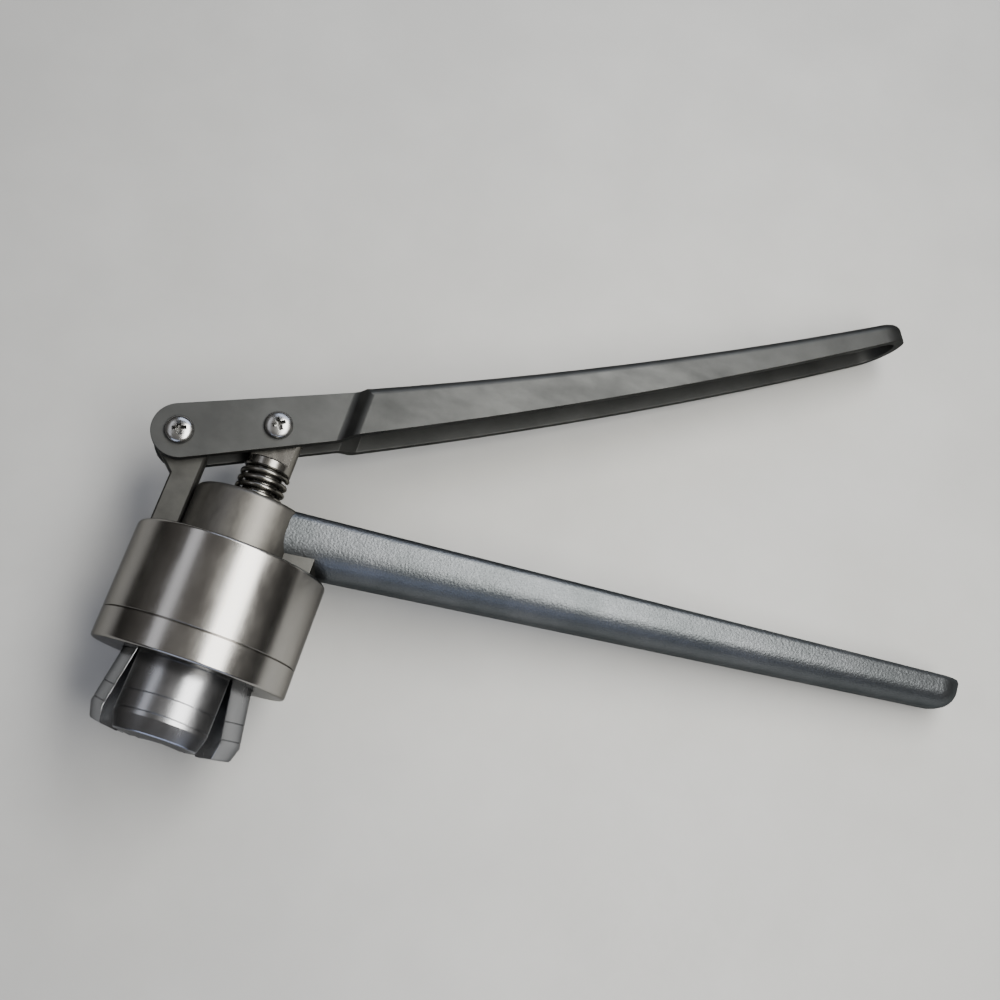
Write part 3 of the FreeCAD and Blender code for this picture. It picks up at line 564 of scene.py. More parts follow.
    @staticmethod
    def reshape(centre: Vector, old: Station, new: Station) -> None:
        """Gives the section under work its new height, width and lean.

        Args:
            centre: Where its middle is now.
            old: The station that it came from.
            new: The station that it has to fit.
        """
        rise0, rise1 = (Vector((t[0] - b[0], t[1] - b[1])) for t, b, _ in (old, new))
        lean0, lean1 = (math.atan2(-rise.x, rise.y) for rise in (rise0, rise1))
        turn = {"orient_axis": "Z", "orient_type": "GLOBAL", "center_override": centre * MM}
        if abs(lean0) > 1e-6:
            bpy.ops.transform.rotate(value=lean0, **turn)
        bpy.ops.transform.resize(value=(1, rise1.length / rise0.length, new[2] / old[2]),
                                 center_override=centre * MM)
        if abs(lean1) > 1e-6:
            bpy.ops.transform.rotate(value=-lean1, **turn)

    @contextmanager
    def editing(self, element: Element) -> Iterator[None]:
        """Holds edit mode on this piece alone.

        Args:
            element: The kind of element that can be selected.

        Yields:
            Nothing; edit mode ends with the block.
        """
        deselect()
        self.obj.select_set(True)
        bpy.context.view_layer.objects.active = self.obj
        bpy.ops.object.mode_set(mode="EDIT")
        bpy.ops.mesh.select_mode(type=element.name)
        yield
        bpy.ops.object.mode_set(mode="OBJECT")

    def pick(self, test: Callable[[Vector], bool], element: Element = Element.VERT) -> None:
        """Selects the elements whose corners all pass a test, in edit mode.

        Args:
            test: Takes a corner's place in millimetres.
            element: What is selected.
        """
        mesh = bmesh.from_edit_mesh(self.obj.data)
        bpy.ops.mesh.select_all(action="DESELECT")
        mesh.verts.ensure_lookup_table()
        passed = {v.index for v in mesh.verts if test(v.co / MM)}
        for item in getattr(mesh, element.value):
            corners = [item] if element is Element.VERT else item.verts
            if all(v.index in passed for v in corners):
                item.select_set(True)
        mesh.select_flush_mode()
        bmesh.update_edit_mesh(self.obj.data)

    def keep_picked(self, test: Callable[[Vector, Vector], bool]) -> None:
        """Drops the picked edges whose two ends fail a test, in edit mode.

        Args:
            test: Takes both ends' places in millimetres.
        """
        mesh = bmesh.from_edit_mesh(self.obj.data)
        for edge in mesh.edges:
            if edge.select and not test(edge.verts[0].co / MM, edge.verts[1].co / MM):
                edge.select_set(False)
        bmesh.update_edit_mesh(self.obj.data)

    def slice(self, point: tuple[float, float, float], outward: tuple[float, float, float]) -> None:
        """Cuts away what lies beyond a plane and closes the cut.

        Args:
            point: A place on the plane, in millimetres.
            outward: The side that goes.
        """
        with self.editing(Element.FACE):
            bpy.ops.mesh.select_all(action="SELECT")
            bpy.ops.mesh.bisect(plane_co=Vector(point) * MM, plane_no=outward, use_fill=True, clear_outer=True)

    def modify(self, kind: str, **settings: Any) -> None:
        """Adds a modifier and applies it.

        Args:
            kind: The modifier's type name.
            **settings: Its settings.
        """
        deselect()
        self.obj.select_set(True)
        bpy.context.view_layer.objects.active = self.obj
        modifier = self.obj.modifiers.new(kind.lower(), kind)
        for name, value in settings.items():
            setattr(modifier, name, value)
        bpy.ops.object.modifier_apply(modifier=modifier.name)

    def soften(self, size: float, segments: int = 2, angle: float = 38.0) -> None:
        """Breaks all sharp edges a little, so that they catch the light.

        Args:
            size: The rounding.
            segments: Faces across it.
            angle: Edges sharper than this many degrees are rounded.
        """
        self.modify("BEVEL", width=size * MM, segments=segments, limit_method="ANGLE",
                    angle_limit=math.radians(angle), use_clamp_overlap=True)

    def cut(self, cutter: "Workpiece") -> None:
        """Takes another workpiece's shape out of this one, and discards that one."""
        self.combine(cutter, Joining.DIFFERENCE)

    def combine(self, other: "Workpiece", way: Joining) -> None:
        """Joins or subtracts another workpiece and discards it.

        Args:
            other: The second shape.
            way: Whether it is added or taken away.
        """
        self.modify("BOOLEAN", object=other.obj, operation=way.value, solver="EXACT")
        bpy.data.objects.remove(other.obj)

    def copy(self, name: str) -> "Workpiece":
        """Makes a copy with its own mesh.

        Args:
            name: The copy's name.

        Returns:
            The copy.
        """
        deselect()
        twin = self.obj.copy()
        twin.data = self.obj.data.copy()
        bpy.context.scene.collection.objects.link(twin)
        bpy.context.view_layer.objects.active = twin
        twin.select_set(True)
        return Workpiece(name)

    def place(self, matrix: Matrix) -> None:
        """Moves the mesh by a matrix, and leaves the object at the origin.

        Args:
            matrix: The move, in metres.
        """
        deselect()
        self.obj.matrix_world = matrix
        self.obj.select_set(True)
        bpy.context.view_layer.objects.active = self.obj
        bpy.ops.object.transform_apply(location=True, rotation=True, scale=True)

    def smooth(self, degrees: float = 32.0) -> None:
        """Shades the piece smooth.

        Args:
            degrees: Edges sharper than this stay sharp.
        """
        deselect()
        self.obj.select_set(True)
        bpy.context.view_layer.objects.active = self.obj
        bpy.ops.object.shade_smooth_by_angle(angle=math.radians(degrees))


class Bench:
    """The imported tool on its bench: where its nodes are, and how finished pieces are fitted to its bodies."""

    def __init__(self, frame: dict[str, Any]) -> None:
        """Reads how the tool lies from the handle's hinge.
        """
        self.frame = frame
        hinge = next(j for j in frame["joints"] if j["name"] == "handle_hinge")
        self.tilt = Matrix.Rotation(math.atan2(hinge["axis"][0], hinge["axis"][2]), 4, "Y")

    def span(self, node: str) -> tuple[Vector, Vector]:
        """Measures a CAD node in the tool frame.

        Args:
            node: Its name.

        Returns:
            Its lowest and its highest corner, in millimetres.
        """
        back = self.tilt.inverted()
        places = [back @ v.co / MM for v in self.frame["nodes"][node].data.vertices]
        lows = Vector(tuple(min(p[i] for p in places) for i in range(3)))
        return lows, Vector(tuple(max(p[i] for p in places) for i in range(3)))

    def centre(self, node: str) -> Vector:
        """The middle of a CAD node in the tool frame."""
        low, high = self.span(node)
        return (low + high) / 2

    def fit(self, piece: Workpiece, body: str, material: bpy.types.Material, slot: str,
            stands_for: Sequence[str] = (), smooth: float = 32.0) -> bpy.types.Object:
        """Tilts a finished piece with the tool, dresses it and lets it ride.

        Args:
            piece: The finished piece, in the tool frame.
            body: The CAD body that it moves with.
            material: Its finish.
            slot: The record's material slot; not used.
            stands_for: The CAD nodes that it replaces.
            smooth: Edges sharper than this angle stay sharp.

        Returns:
            The piece's object.
        """
        piece.place(self.tilt)
        piece.smooth(smooth)
        piece.modify("WEIGHTED_NORMAL", keep_sharp=True, weight=100)
        piece.obj.data.materials.clear()
        piece.obj.data.materials.append(material)
        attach(piece.obj, body)
        if stands_for:
            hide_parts(*stands_for)
        LOG.info("fitted %s on %s, %d faces", piece.obj.name, body, len(piece.obj.data.polygons))
        return piece.obj

    def dress(self, material: bpy.types.Material, slot: str, *nodes: str) -> None:
        """Gives CAD nodes that stay a finish.

        Args:
            material: The finish.
            slot: The record's material slot; not used.
            *nodes: The nodes' names.
        """
        for name in nodes:
            obj = self.frame["nodes"][name]
            for index in range(max(len(obj.material_slots), 1)):
                if obj.material_slots:
                    obj.material_slots[index].material = material
                else:
                    obj.data.materials.append(material)
            LOG.info("dressed %s", name)


# ---------------------------------------------------------------- the tool's sub-assemblies

def arc(centre: tuple[float, float], radius: float, start: float, end: float,
        steps: int) -> list[tuple[float, float]]:
    """Corners of a rounding in an outline.

    Args:
        centre: Its centre as (radius, y).
        radius: Its radius.
        start: Where it starts, in degrees from outwards.
        end: Where it ends.
        steps: Faces along it.

    Returns:
        The corners as (radius, y), both ends included.
    """
    turns = [math.radians(start + (end - start) * i / steps) for i in range(steps + 1)]
    return [(centre[0] + radius * math.cos(t), centre[1] + radius * math.sin(t)) for t in turns]


@dataclass
class BellHead:
    """The polished sleeve and the ring that closes its mouth."""

    bench: Bench
    wall: float = 2.0
    rim_round: float = 0.9
    seam: float = 0.3
    mouth_round: float = 0.8
    lip: float = 3.0
    lip_gap: float = 0.7
    jaw_r: float = 17.6
    spigot: float = 6.0
    spigot_wall: float = 2.3
    spigot_play: float = 0.02
    bore_round: float = 0.4
    lip_round: float = 0.35
    segments: int = 176

    def build(self, finishes: Finishes) -> None:
        """Turns the sleeve and the ring and fits them.

        Args:
            finishes: The materials.
        """
        low, high = self.bench.span("bell_sleeve")
        mouth, radius = self.bench.span("retaining_ring")[0].y, high.x
        seam_y, top_y, bore = low.y, high.y, radius - self.wall
        sleeve = Workpiece.lathe("bell_sleeve_turned", [
            (bore + self.seam, seam_y), (radius - self.seam, seam_y), (radius, seam_y + self.seam),
            *arc((radius - self.rim_round, top_y - self.rim_round), self.rim_round, 0, 90, 6),
            *arc((bore + self.bore_round, top_y - self.bore_round), self.bore_round, 90, 180, 3),
            (bore, seam_y + self.seam)], self.segments)
        self.bench.fit(sleeve, "lower_body", finishes.bell, "turned_steel", ["bell_sleeve"])
        lip_r, chamber, spigot_r = self.jaw_r + self.lip_gap, bore - self.spigot_wall, bore - self.spigot_play
        ring = Workpiece.lathe("retaining_ring_turned", [
            *arc((lip_r + self.lip_round, mouth + self.lip_round), self.lip_round, 180, 270, 3),
            *arc((radius - self.mouth_round, mouth + self.mouth_round), self.mouth_round, 270, 360, 4),
            (radius, seam_y - self.seam), (radius - self.seam, seam_y), (spigot_r, seam_y),
            (spigot_r, seam_y + self.spigot), (chamber, seam_y + self.spigot), (chamber, mouth + self.lip),
            (lip_r, mouth + self.lip)], self.segments)
        self.bench.fit(ring, "lower_body", finishes.bell, "turned_steel", ["retaining_ring"])


@dataclass
class JawSet:
    """Four hardened jaws, modelled closed as one turned blank, sliced, and swung open about the ring's lip."""

    bench: Bench
    radius: float = 17.6
    length: float = 19.5
    open_deg: float = 9.0
    gap: float = 0.6
    top_gap: float = 5.2
    cavity_r: float = 10.8
    hook_r: float = 9.2
    hook: float = 2.6
    nose: float = 3.9
    nose_depth: float = 1.7
    nose_edge: float = 0.45
    shoulder_r: float = 21.0
    shoulder: float = 4.2
    shoulder_play: float = 0.9
    stem_r: float = 20.2
    top_r: float = 13.4
    throat_r: float = 11.6
    fulcrum_rise: float = 2.2
    lip: float = 3.0
    groove_half: float = 1.53
    groove_depth: float = 1.4
    line_width: float = 0.3
    line_depth: float = 0.22
    line_slope: float = 0.08
    line_places: tuple[float, float] = (0.50, 0.74)
    hook_slope: float = 0.55
    hook_edge: float = 0.4
    taper_start: float = 1.0
    past: float = 1.0
    edge: float = 0.12
    sharp_deg: float = 20.0
    segments: int = 160
    sides: dict[str, int] = field(
        default_factory=lambda: {"front": 0, "right": 90, "back": 180, "left": 270})

    def outline(self, mouth: float, top: float) -> list[tuple[float, float]]:
        """The blank's closed outline.

        Args:
            mouth: Height of the ring's mouth.
            top: Height of the closed jaws' upper ends.

        Returns:
            Corners as (radius, y).
        """
        tip = mouth - self.length
        lip_y = mouth + self.lip
        foot = lip_y + self.shoulder_play
        groove = (foot + self.shoulder + top) / 2
        cavity = tip + self.hook
        flank = self.radius - self.nose_depth
        corners = [(flank - self.nose_edge, tip), (flank, tip + self.nose_edge), (self.radius, tip + self.nose)]
        for share in sorted(self.line_places, reverse=True):
            y = mouth - share * self.length
            shallow = self.radius - self.line_depth
            corners += [(self.radius, y), (shallow, y + self.line_slope),
                        (shallow, y + self.line_width - self.line_slope), (self.radius, y + self.line_width)]
        inner = self.stem_r - self.groove_depth
        corners += [(self.radius, foot), (self.shoulder_r, foot), (self.shoulder_r, foot + self.shoulder),
                    (self.stem_r, foot + self.shoulder), (self.stem_r, groove - self.groove_half),
                    (inner, groove - self.groove_half), (inner, groove + self.groove_half),
                    (self.stem_r, groove + self.groove_half), (self.stem_r, top), (self.top_r, top),
                    (self.throat_r, lip_y + self.shoulder), (self.cavity_r, lip_y), (self.cavity_r, cavity),
                    (self.hook_r, cavity - self.hook * self.hook_slope), (self.hook_r, tip + self.hook_edge),
                    (self.hook_r + self.hook_edge, tip)]
        return corners

    def build(self, finishes: Finishes) -> None:
        """Turns the blank, slices the front jaw out of it, opens it and copies it round.

        Args:
            finishes: The materials.
        """
        mouth = self.bench.span("retaining_ring")[0].y
        fulcrum = mouth + self.fulcrum_rise
        top = self.closed_top(fulcrum)
        jaw = Workpiece.lathe("jaw_front_polished", self.outline(mouth, top), self.segments)
        taper_y = fulcrum + self.taper_start
        low, high = self.gap / math.sqrt(2), self.top_gap / math.sqrt(2)
        slope = (high - low) / (top + self.past - taper_y)
        for side in (-1, 1):
            jaw.slice((0, taper_y, low), (side, 0, -1))
            jaw.slice((0, taper_y, low), (side, slope, -1))
        jaw.soften(self.edge)
        pivot = Vector((0, fulcrum, self.radius)) * MM
        swing = Matrix.Translation(pivot) @ Matrix.Rotation(math.radians(-self.open_deg), 4, "X")
        jaw.place(swing @ Matrix.Translation(-pivot))
        jaws = {}
        for side, azimuth in self.sides.items():
            jaws[side] = jaw.copy(f"jaw_{side}_polished") if azimuth else jaw
            if azimuth:
                jaws[side].place(Matrix.Rotation(math.radians(azimuth), 4, "Y"))
        for side, piece in jaws.items():
            self.bench.fit(piece, f"jaw_{side}_body", finishes.jaw, "polished_steel", [f"jaw_{side}"],
                           smooth=self.sharp_deg)

    def closed_top(self, fulcrum: float) -> float:
        """Height of the closed jaws' upper ends, from where the open front jaw's highest corner is.

        Args:
            fulcrum: Height about which the jaws swing.

        Returns:
            The height in the tool frame.
        """
        turn = math.radians(self.open_deg)
        highest = self.bench.span("jaw_front")[1].y
        out = self.stem_r - self.radius
        return fulcrum + (highest - fulcrum - out * math.sin(turn)) / math.cos(turn)


@dataclass
class LowerHandle:
    """The casting: flange in the bell, turned boss, web over the bell's rim, and the pebbled grip."""

    bench: Bench
    boss_r: float = 16.4
    boss_height: float = 16.0
    boss_edge: float = 1.4
    boss_fillet: float = 0.6
    boss_segments: int = 144
    counterbore_r: float = 7.6
    counterbore_edge: float = 0.5
    bush_r: float = 7.0
    flange_wall: float = 2.02
    flange_drop: float = 0.5
    flange_edge: float = 0.3
    top_slope: float = 0.1025
    bottom_slope: float = 0.1345
    root_x: float = 11.0
    root_height: float = 15.6
    root_half: float = 11.5
    tip_half: float = 9.0
    top_round: float = 3.0
    bottom_round: float = 9.4
    start_x: float = 8.0
    places: tuple[float, ...] = (14.0, 20.0, 27.0, 45.0, 70.0, 100.0, 135.0, 170.0, 195.0)
    tip_turns: tuple[float, ...] = (10, 20, 30, 39, 48, 56, 63, 69, 74, 79, 83, 86, 88.5)
    nose_top: float = 2.6
    nose_bottom: float = 6.4
    grip_edge: float = 0.5
    web_r: float = 23.6
    web_inner_r: float = 12.0
    web_start_x: float = 2.0
    web_sink: float = 0.2
    web_segments: int = 160
    web_half: float = 9.6
    web_edge: float = 1.8

    def __post_init__(self) -> None:
        """Reads the heights and the reach from the frame."""
        low, high = self.bench.span("lower_handle")
        bell_high = self.bench.span("bell_sleeve")[1]
        self.bell_r, self.bell_top = bell_high.x, bell_high.y
        self.reach, self.flange_y = high.x, low.y
        self.boss_top = self.bell_top + self.boss_height
        self.step_y = self.bench.span("spring_washer")[0].y

    def top(self, x: float) -> float:
        """Height of the grip's upper side."""
        return self.boss_top + (x - self.root_x) * self.top_slope

    def bottom(self, x: float) -> float:
        """Height of the grip's underside."""
        return self.top(self.bell_r) - self.root_height + (x - self.bell_r) * self.bottom_slope

    def half(self, x: float) -> float:
        """Half the grip's depth."""
        share = (x - self.root_x) / (self.reach - self.root_x)
        return self.root_half + share * (self.tip_half - self.root_half)

    def tuck(self, x: float, nose: float) -> float:
        """How far a side is taken in at x by the tip's rounding, whose radius is given."""
        past = max(x - (self.reach - nose), 0.0)
        return nose - math.sqrt(nose ** 2 - past ** 2)

    def stations(self) -> list[Station]:
        """Sections from inside the boss to the tip, which is round from above and from the side."""
        tip_r = self.half(self.reach - self.tip_half)
        plan_x = self.reach - tip_r
        turns = [math.radians(a) for a in self.tip_turns]
        places = [self.start_x, *self.places, plan_x]
        found = []
        for x in places + [plan_x + tip_r * math.sin(t) for t in turns]:
            half = self.half(min(x, plan_x)) if x <= plan_x else math.sqrt(tip_r ** 2 - (x - plan_x) ** 2)
            found.append(((x, self.top(x) - self.tuck(x, self.nose_top)),
                          (x, self.bottom(x) + self.tuck(x, self.nose_bottom)), half))
        return found

    def build(self, finishes: Finishes) -> None:
        """Makes the turned boss and the cast grip with its web.

        Args:
            finishes: The materials.
        """
        outer, flange_top = self.bell_r - self.flange_wall, self.bell_top - self.flange_drop
        boss = Workpiece.lathe("boss_turned", [
            (self.bush_r, self.flange_y), (outer, self.flange_y), (outer, flange_top - self.flange_edge),
            (outer - self.flange_edge, flange_top),
            *arc((self.boss_r + self.boss_fillet, flange_top + self.boss_fillet), self.boss_fillet, 270, 180,
                 4),
            *arc((self.boss_r - self.boss_edge, self.boss_top - self.boss_edge), self.boss_edge, 0, 90, 6),
            (self.counterbore_r + self.counterbore_edge, self.boss_top),
            (self.counterbore_r, self.boss_top - self.counterbore_edge),
            (self.counterbore_r, self.step_y), (self.bush_r, self.step_y)], self.boss_segments)
        self.bench.fit(boss, "lower_body", finishes.boss, "turned_steel", ["lower_handle"])
        rounds = [(self.top_round, 6), (self.bottom_round, 10)]
        grip = Workpiece.loft("lower_grip_cast", self.stations(), rounds)
        grip.soften(self.grip_edge, 3, 50)
        self.bench.fit(grip, "lower_body", finishes.casting, "cast_grey", smooth=40)
        inside = self.bottom(self.bell_r) + self.root_height / 3
        foot = flange_top - self.web_sink
        outline = [(self.web_inner_r, foot), (self.web_r, foot), (self.web_r, inside),
                   (self.web_inner_r, inside)]
        web = Workpiece.lathe("grip_web_cast", outline, self.web_segments)
        web.slice((0, 0, self.web_half), (0, 0, 1))
        web.slice((0, 0, -self.web_half), (0, 0, -1))
        web.slice((self.web_start_x, 0, 0), (-1, 0, 0))
        web.soften(self.web_edge, 4, 40)
        # The web is part of the casting but wears the darker blasted plate finish; its darker tone is painted
        # shade for the shadow under the grip's root.
        self.bench.fit(web, "lower_body", finishes.arm, "cast_grey")


@dataclass
class UpperHandle:
    """The forked handle: two cheeks on the pins, a joggle out to the grip, and a channel under the grip."""

    bench: Bench
    fork_gap: float = 8.2
    cheek: float = 2.6
    end_r: float = 7.9
    top_end: float = 9.1
    bottom_end: float = 5.15
    top_end_past: float = 4.0
    bottom_end_short: float = 3.0
    end_land: float = 0.05
    joggle_x: float = 16.6
    joggle: float = 3.4
    joggle_round: float = 1.3
    grip_half: float = 11.0
    wall: float = 2.8
    end_rise: float = 144.8
    end_x: float = 173.6
    end_height: float = 6.4
    sag: float = 2.5
    tip_round: float = 10.4
    tip_wall: float = 3.4
    edge: float = 2.6
    broken_edge: float = 0.35
    spine_start: float = 37.0
    spine_slope: float = 0.6
    channel_far: float = 2.2
    channel_deep: float = 40.0
    near: float = 0.2
    steps: int = 14

    def __post_init__(self) -> None:
        """Reads both pins from the frame."""
        self.pivot, self.link = (self.bench.centre(n).xy for n in ("pivot_pin", "link_pin"))
        self.ahead = (self.link - self.pivot).normalized()
        self.up = Vector((-self.ahead.y, self.ahead.x))
        self.half = self.fork_gap / 2 + self.cheek
        self.bell_top = self.bench.span("bell_sleeve")[1].y

    def along(self, distance: float, rise: float) -> Vector:
        """A point at a distance from the pivot along the line of the pins, and a rise above it."""
        return self.pivot + self.ahead * distance + self.up * rise

    def edges_at(self, x: float) -> tuple[Vector, Vector]:
        """Finds the cheeks' edges.

        Args:
            x: Where, in the tool frame.

        Returns:
            The upper and the lower edge's point.
        """
        reach = (self.joggle_x - self.pivot.x) / self.ahead.x
        found = []
        for start, end in ((self.along(0, self.end_r), self.along(reach + self.top_end_past, self.top_end)),
                           (self.along(0, -self.end_r),
                            self.along(reach - self.bottom_end_short, -self.bottom_end))):
            found.append(start.lerp(end, (x - start.x) / (end.x - start.x)))
        return found[0], found[1]

    def grip(self, inset: float = 0.0, short: float = 0.0, depth: float | None = None) -> list[Station]:
        """Sections of the bowed grip from the joggle to the tip.

        Args:
            inset: How far the upper side is lowered.
            short: How far the tip is drawn back.
            depth: How deep the sections are, or none for the grip's own outline.

        Returns:
            The stations, with half widths of the outside less the wall where there is an inset.
        """
        top0, low0 = self.edges_at(self.joggle_x + self.joggle)
        top1 = Vector((self.end_x, self.bell_top + self.end_rise))
        chord = (top1 - top0).normalized()
        drop = Vector((chord.y, -chord.x))
        low1 = top1 + drop * self.end_height - chord * short
        top0, top1 = top0 + drop * inset, top1 + drop * inset - chord * short
        if depth is not None:
            low0, low1 = top0 + Vector((0, -depth)), top1 + drop * depth
        half = self.grip_half - (self.wall if inset else 0)
        found = []
        for i in range(self.steps + 1):
            s = i / self.steps
            bow = drop * (self.sag * 4 * s * (1 - s))
            found.append((tuple(top0.lerp(top1, s) + bow), tuple(low0.lerp(low1, s) + bow), half))
        return found

    def outside(self) -> Workpiece:
        """The solid handle, from the round end about the pivot to the round tip."""
        back = -self.end_r
        stations = [(tuple(self.along(back, self.end_r)), tuple(self.along(back, -self.end_r)), self.half),
                    (tuple(self.along(0, self.end_r)), tuple(self.along(0, -self.end_r)), self.half)]
        top, low = self.edges_at(self.joggle_x)
        stations += [(tuple(top), tuple(low), self.half), *self.grip()]
        body = Workpiece.loft("upper_handle_forked", stations)
        end = self.along(back, 0)
        with body.editing(Element.EDGE):
            body.pick(lambda p: (p.xy - end).dot(self.ahead) < self.near, Element.EDGE)
            body.keep_picked(lambda a, b: abs(a.z - b.z) > 1)
            bpy.ops.mesh.bevel(offset=(self.end_r - self.end_land) * MM, segments=14, affect="EDGES")
        return body

    def channel(self) -> Workpiece:
        """What is missing under the grip and between the cheeks."""
        far, deep = -self.channel_far * self.end_r, self.channel_deep
        start_x = self.along(self.spine_start, 0).x
        half = self.fork_gap / 2
        stations = []
        for x, rise in ((self.pivot.x + far, deep), (start_x, deep), (start_x + self.spine_slope, -self.wall),
                        (self.joggle_x, -self.wall)):
            top = self.edges_at(x)[0]
            stations.append(((x, top.y + rise), (x, top.y - deep), half))
        return Workpiece.loft("channel", stations + self.grip(self.wall, self.tip_wall, deep))

    def build(self, finishes: Finishes) -> None:
        """Lofts the outside, rounds it, and takes the channel and the fork's slot out of it.

        Args:
            finishes: The materials.
        """
        body = self.outside()
        tip = self.grip()[-1]
        ahead = (Vector(tip[0]) - Vector(self.grip()[0][0])).normalized()
        top_x = self.joggle_x + self.joggle
        with body.editing(Element.EDGE):
            body.pick(lambda p: (p.xy - Vector(tip[0])).dot(ahead) > -self.near, Element.EDGE)
            body.keep_picked(lambda a, b: abs(a.z - b.z) < 0.1)
            bpy.ops.mesh.bevel(offset=self.tip_round * MM, segments=9, affect="EDGES")
        rim = self.top_line()
        with body.editing(Element.EDGE):
            body.pick(lambda p: p.x > top_x - 0.1 and abs(rim(p)) < 0.3, Element.EDGE)
            body.keep_picked(lambda a, b: abs(a.z - b.z) < 2 * self.grip_half - 1
                             and not (abs(a.x - top_x) < 0.1 > abs(b.x - top_x))
                             and (abs(a.z + b.z) > 1 or a.x > self.end_x - 1))
            bpy.ops.mesh.bevel(offset=self.edge * MM, segments=5, affect="EDGES")
        with body.editing(Element.EDGE):
            body.pick(lambda p: min(abs(p.x - self.joggle_x), abs(p.x - top_x)) < 0.05, Element.EDGE)
            body.keep_picked(lambda a, b: abs(a.z - b.z) < 0.1 and abs(a.x - b.x) < 0.1)
            bpy.ops.mesh.bevel(offset=self.joggle_round * MM, segments=4, affect="EDGES")
        hollow = self.channel()
        inner = self.grip(self.wall, self.tip_wall, self.channel_deep)[-1]
        with hollow.editing(Element.EDGE):
            hollow.pick(lambda p: (p.xy - Vector(inner[0])).dot(ahead) > -self.near, Element.EDGE)
            hollow.keep_picked(lambda a, b: abs(a.z - b.z) < 0.1)
            bpy.ops.mesh.bevel(offset=(self.tip_round - self.wall) * MM, segments=7, affect="EDGES")
        body.cut(hollow)
        body.soften(self.broken_edge, 2, 40)
        self.bench.fit(body, "upper_handle_body", finishes.handle, "blasted_steel", ["upper_handle"], smooth=36)

    def top_line(self) -> Callable[[Vector], float]:
        """How far a point lies above the grip's upper side.

        Returns:
            A function of a place in the tool frame.
        """
        tops = [Vector(s[0]) for s in self.grip()]

        def above(p: Vector) -> float:
            """Distance of a place above the upper side's nearest stretch."""
            near = min(range(len(tops) - 1), key=lambda i: ((tops[i] + tops[i + 1]) / 2 - p.xy).length)
            way = (tops[near + 1] - tops[near]).normalized()
            return (p.xy - tops[near]).dot(Vector((-way.y, way.x)))

        return above


@dataclass
class PlungerGroup:
    """The rod with its collar and slotted tongue, and the spring under the collar."""

    bench: Bench
    handle: UpperHandle
    rod_r: float = 5.0
    rod_edge: float = 0.3
    collar_r: float = 6.75
    edge: float = 0.4
    tongue: float = 7.8
    tongue_edge: float = 1.2
    tongue_inset: float = 0.01
    tongue_sink: float = 1.0
    slot_r: float = 3.15
    slot_play: float = 0.25
    slot_land: float = 0.02
    slot_half: float = 9.0
    headroom: float = 0.3
    spring_r: float = 7.1
    wire: float = 1.5
    turns: int = 10
    run: float = 0.05
    broken_edge: float = 0.12
    segments: int = 96

    def build(self, finishes: Finishes) -> None:
        """Makes the plunger and the spring.

        Args:
            finishes: The materials.
        """
        low, high = self.bench.span("plunger")
        link = self.bench.centre("link_pin")
        collar_y = self.bench.span("return_spring")[1].y + self.run
        nearest = -math.sqrt(self.collar_r ** 2 - (self.handle.fork_gap / 2) ** 2)
        collar_top = self.handle.edges_at(nearest)[1].y - self.headroom
        plunger = Workpiece.lathe("plunger_turned", [
            (0, low.y), (self.rod_r - self.rod_edge, low.y), (self.rod_r, low.y + self.rod_edge),
            (self.rod_r, collar_y),
            (self.collar_r - self.edge, collar_y), (self.collar_r, collar_y + self.edge),
            (self.collar_r, collar_top - self.edge), (self.collar_r - self.edge, collar_top), (0, collar_top)],
            self.segments)
        foot, side_r = collar_y + self.tongue_sink, self.collar_r - self.tongue_inset
        tongue = Workpiece.lathe("tongue", [(0, foot), (side_r, foot), (side_r, high.y - self.tongue_edge),
                                            (self.collar_r - self.tongue_edge, high.y), (0, high.y)],
                                 self.segments)
        for side in (-1, 1):
            tongue.slice((0, 0, side * self.tongue / 2), (0, 0, side))
        drift = -2 * link.x
        slot = Workpiece.block(
            "slot", (link.x - self.slot_play - self.slot_r, link.y - self.slot_r, -self.slot_half),
            (link.x + drift + self.slot_play + self.slot_r, link.y + self.slot_r, self.slot_half))
        with slot.editing(Element.EDGE):
            slot.pick(lambda p: True, Element.EDGE)
            slot.keep_picked(lambda a, b: abs(a.z - b.z) > 1)
            bpy.ops.mesh.bevel(offset=(self.slot_r - self.slot_land) * MM, segments=8, affect="EDGES")
        tongue.cut(slot)
        plunger.combine(tongue, Joining.UNION)
        plunger.soften(self.broken_edge, 2, 40)
        self.bench.fit(plunger, "plunger_body", finishes.rod, "bright_steel", ["plunger"])
        self.spring(finishes)

    def spring(self, finishes: Finishes) -> None:
        """Winds the spring.

        Args:
            finishes: The materials.
        """
        low, high = self.bench.span("return_spring")
        start = low.y + self.wire / 2
        rise = high.y - low.y - self.wire
        mean = self.spring_r - self.wire / 2
        deselect()
        bpy.ops.mesh.primitive_circle_add(vertices=16, radius=self.wire / 2 * MM,
                                          location=(mean * MM, start * MM, 0))
        coil = Workpiece("return_spring_wound")
        coil.modify("SCREW", axis="Y", angle=WHOLE_TURN, screw_offset=rise / self.turns * MM,
                    iterations=self.turns, steps=40, render_steps=40, use_smooth_shade=True)
        with coil.editing(Element.EDGE):
            bpy.ops.mesh.select_all(action="DESELECT")
            bpy.ops.mesh.select_non_manifold()
            bpy.ops.mesh.edge_face_add()
            bpy.ops.mesh.select_all(action="SELECT")
            bpy.ops.mesh.normals_make_consistent(inside=False)
        obj = self.bench.fit(coil, "lower_body", finishes.spring, "spring_steel", ["return_spring"], smooth=50)
        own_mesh(obj)


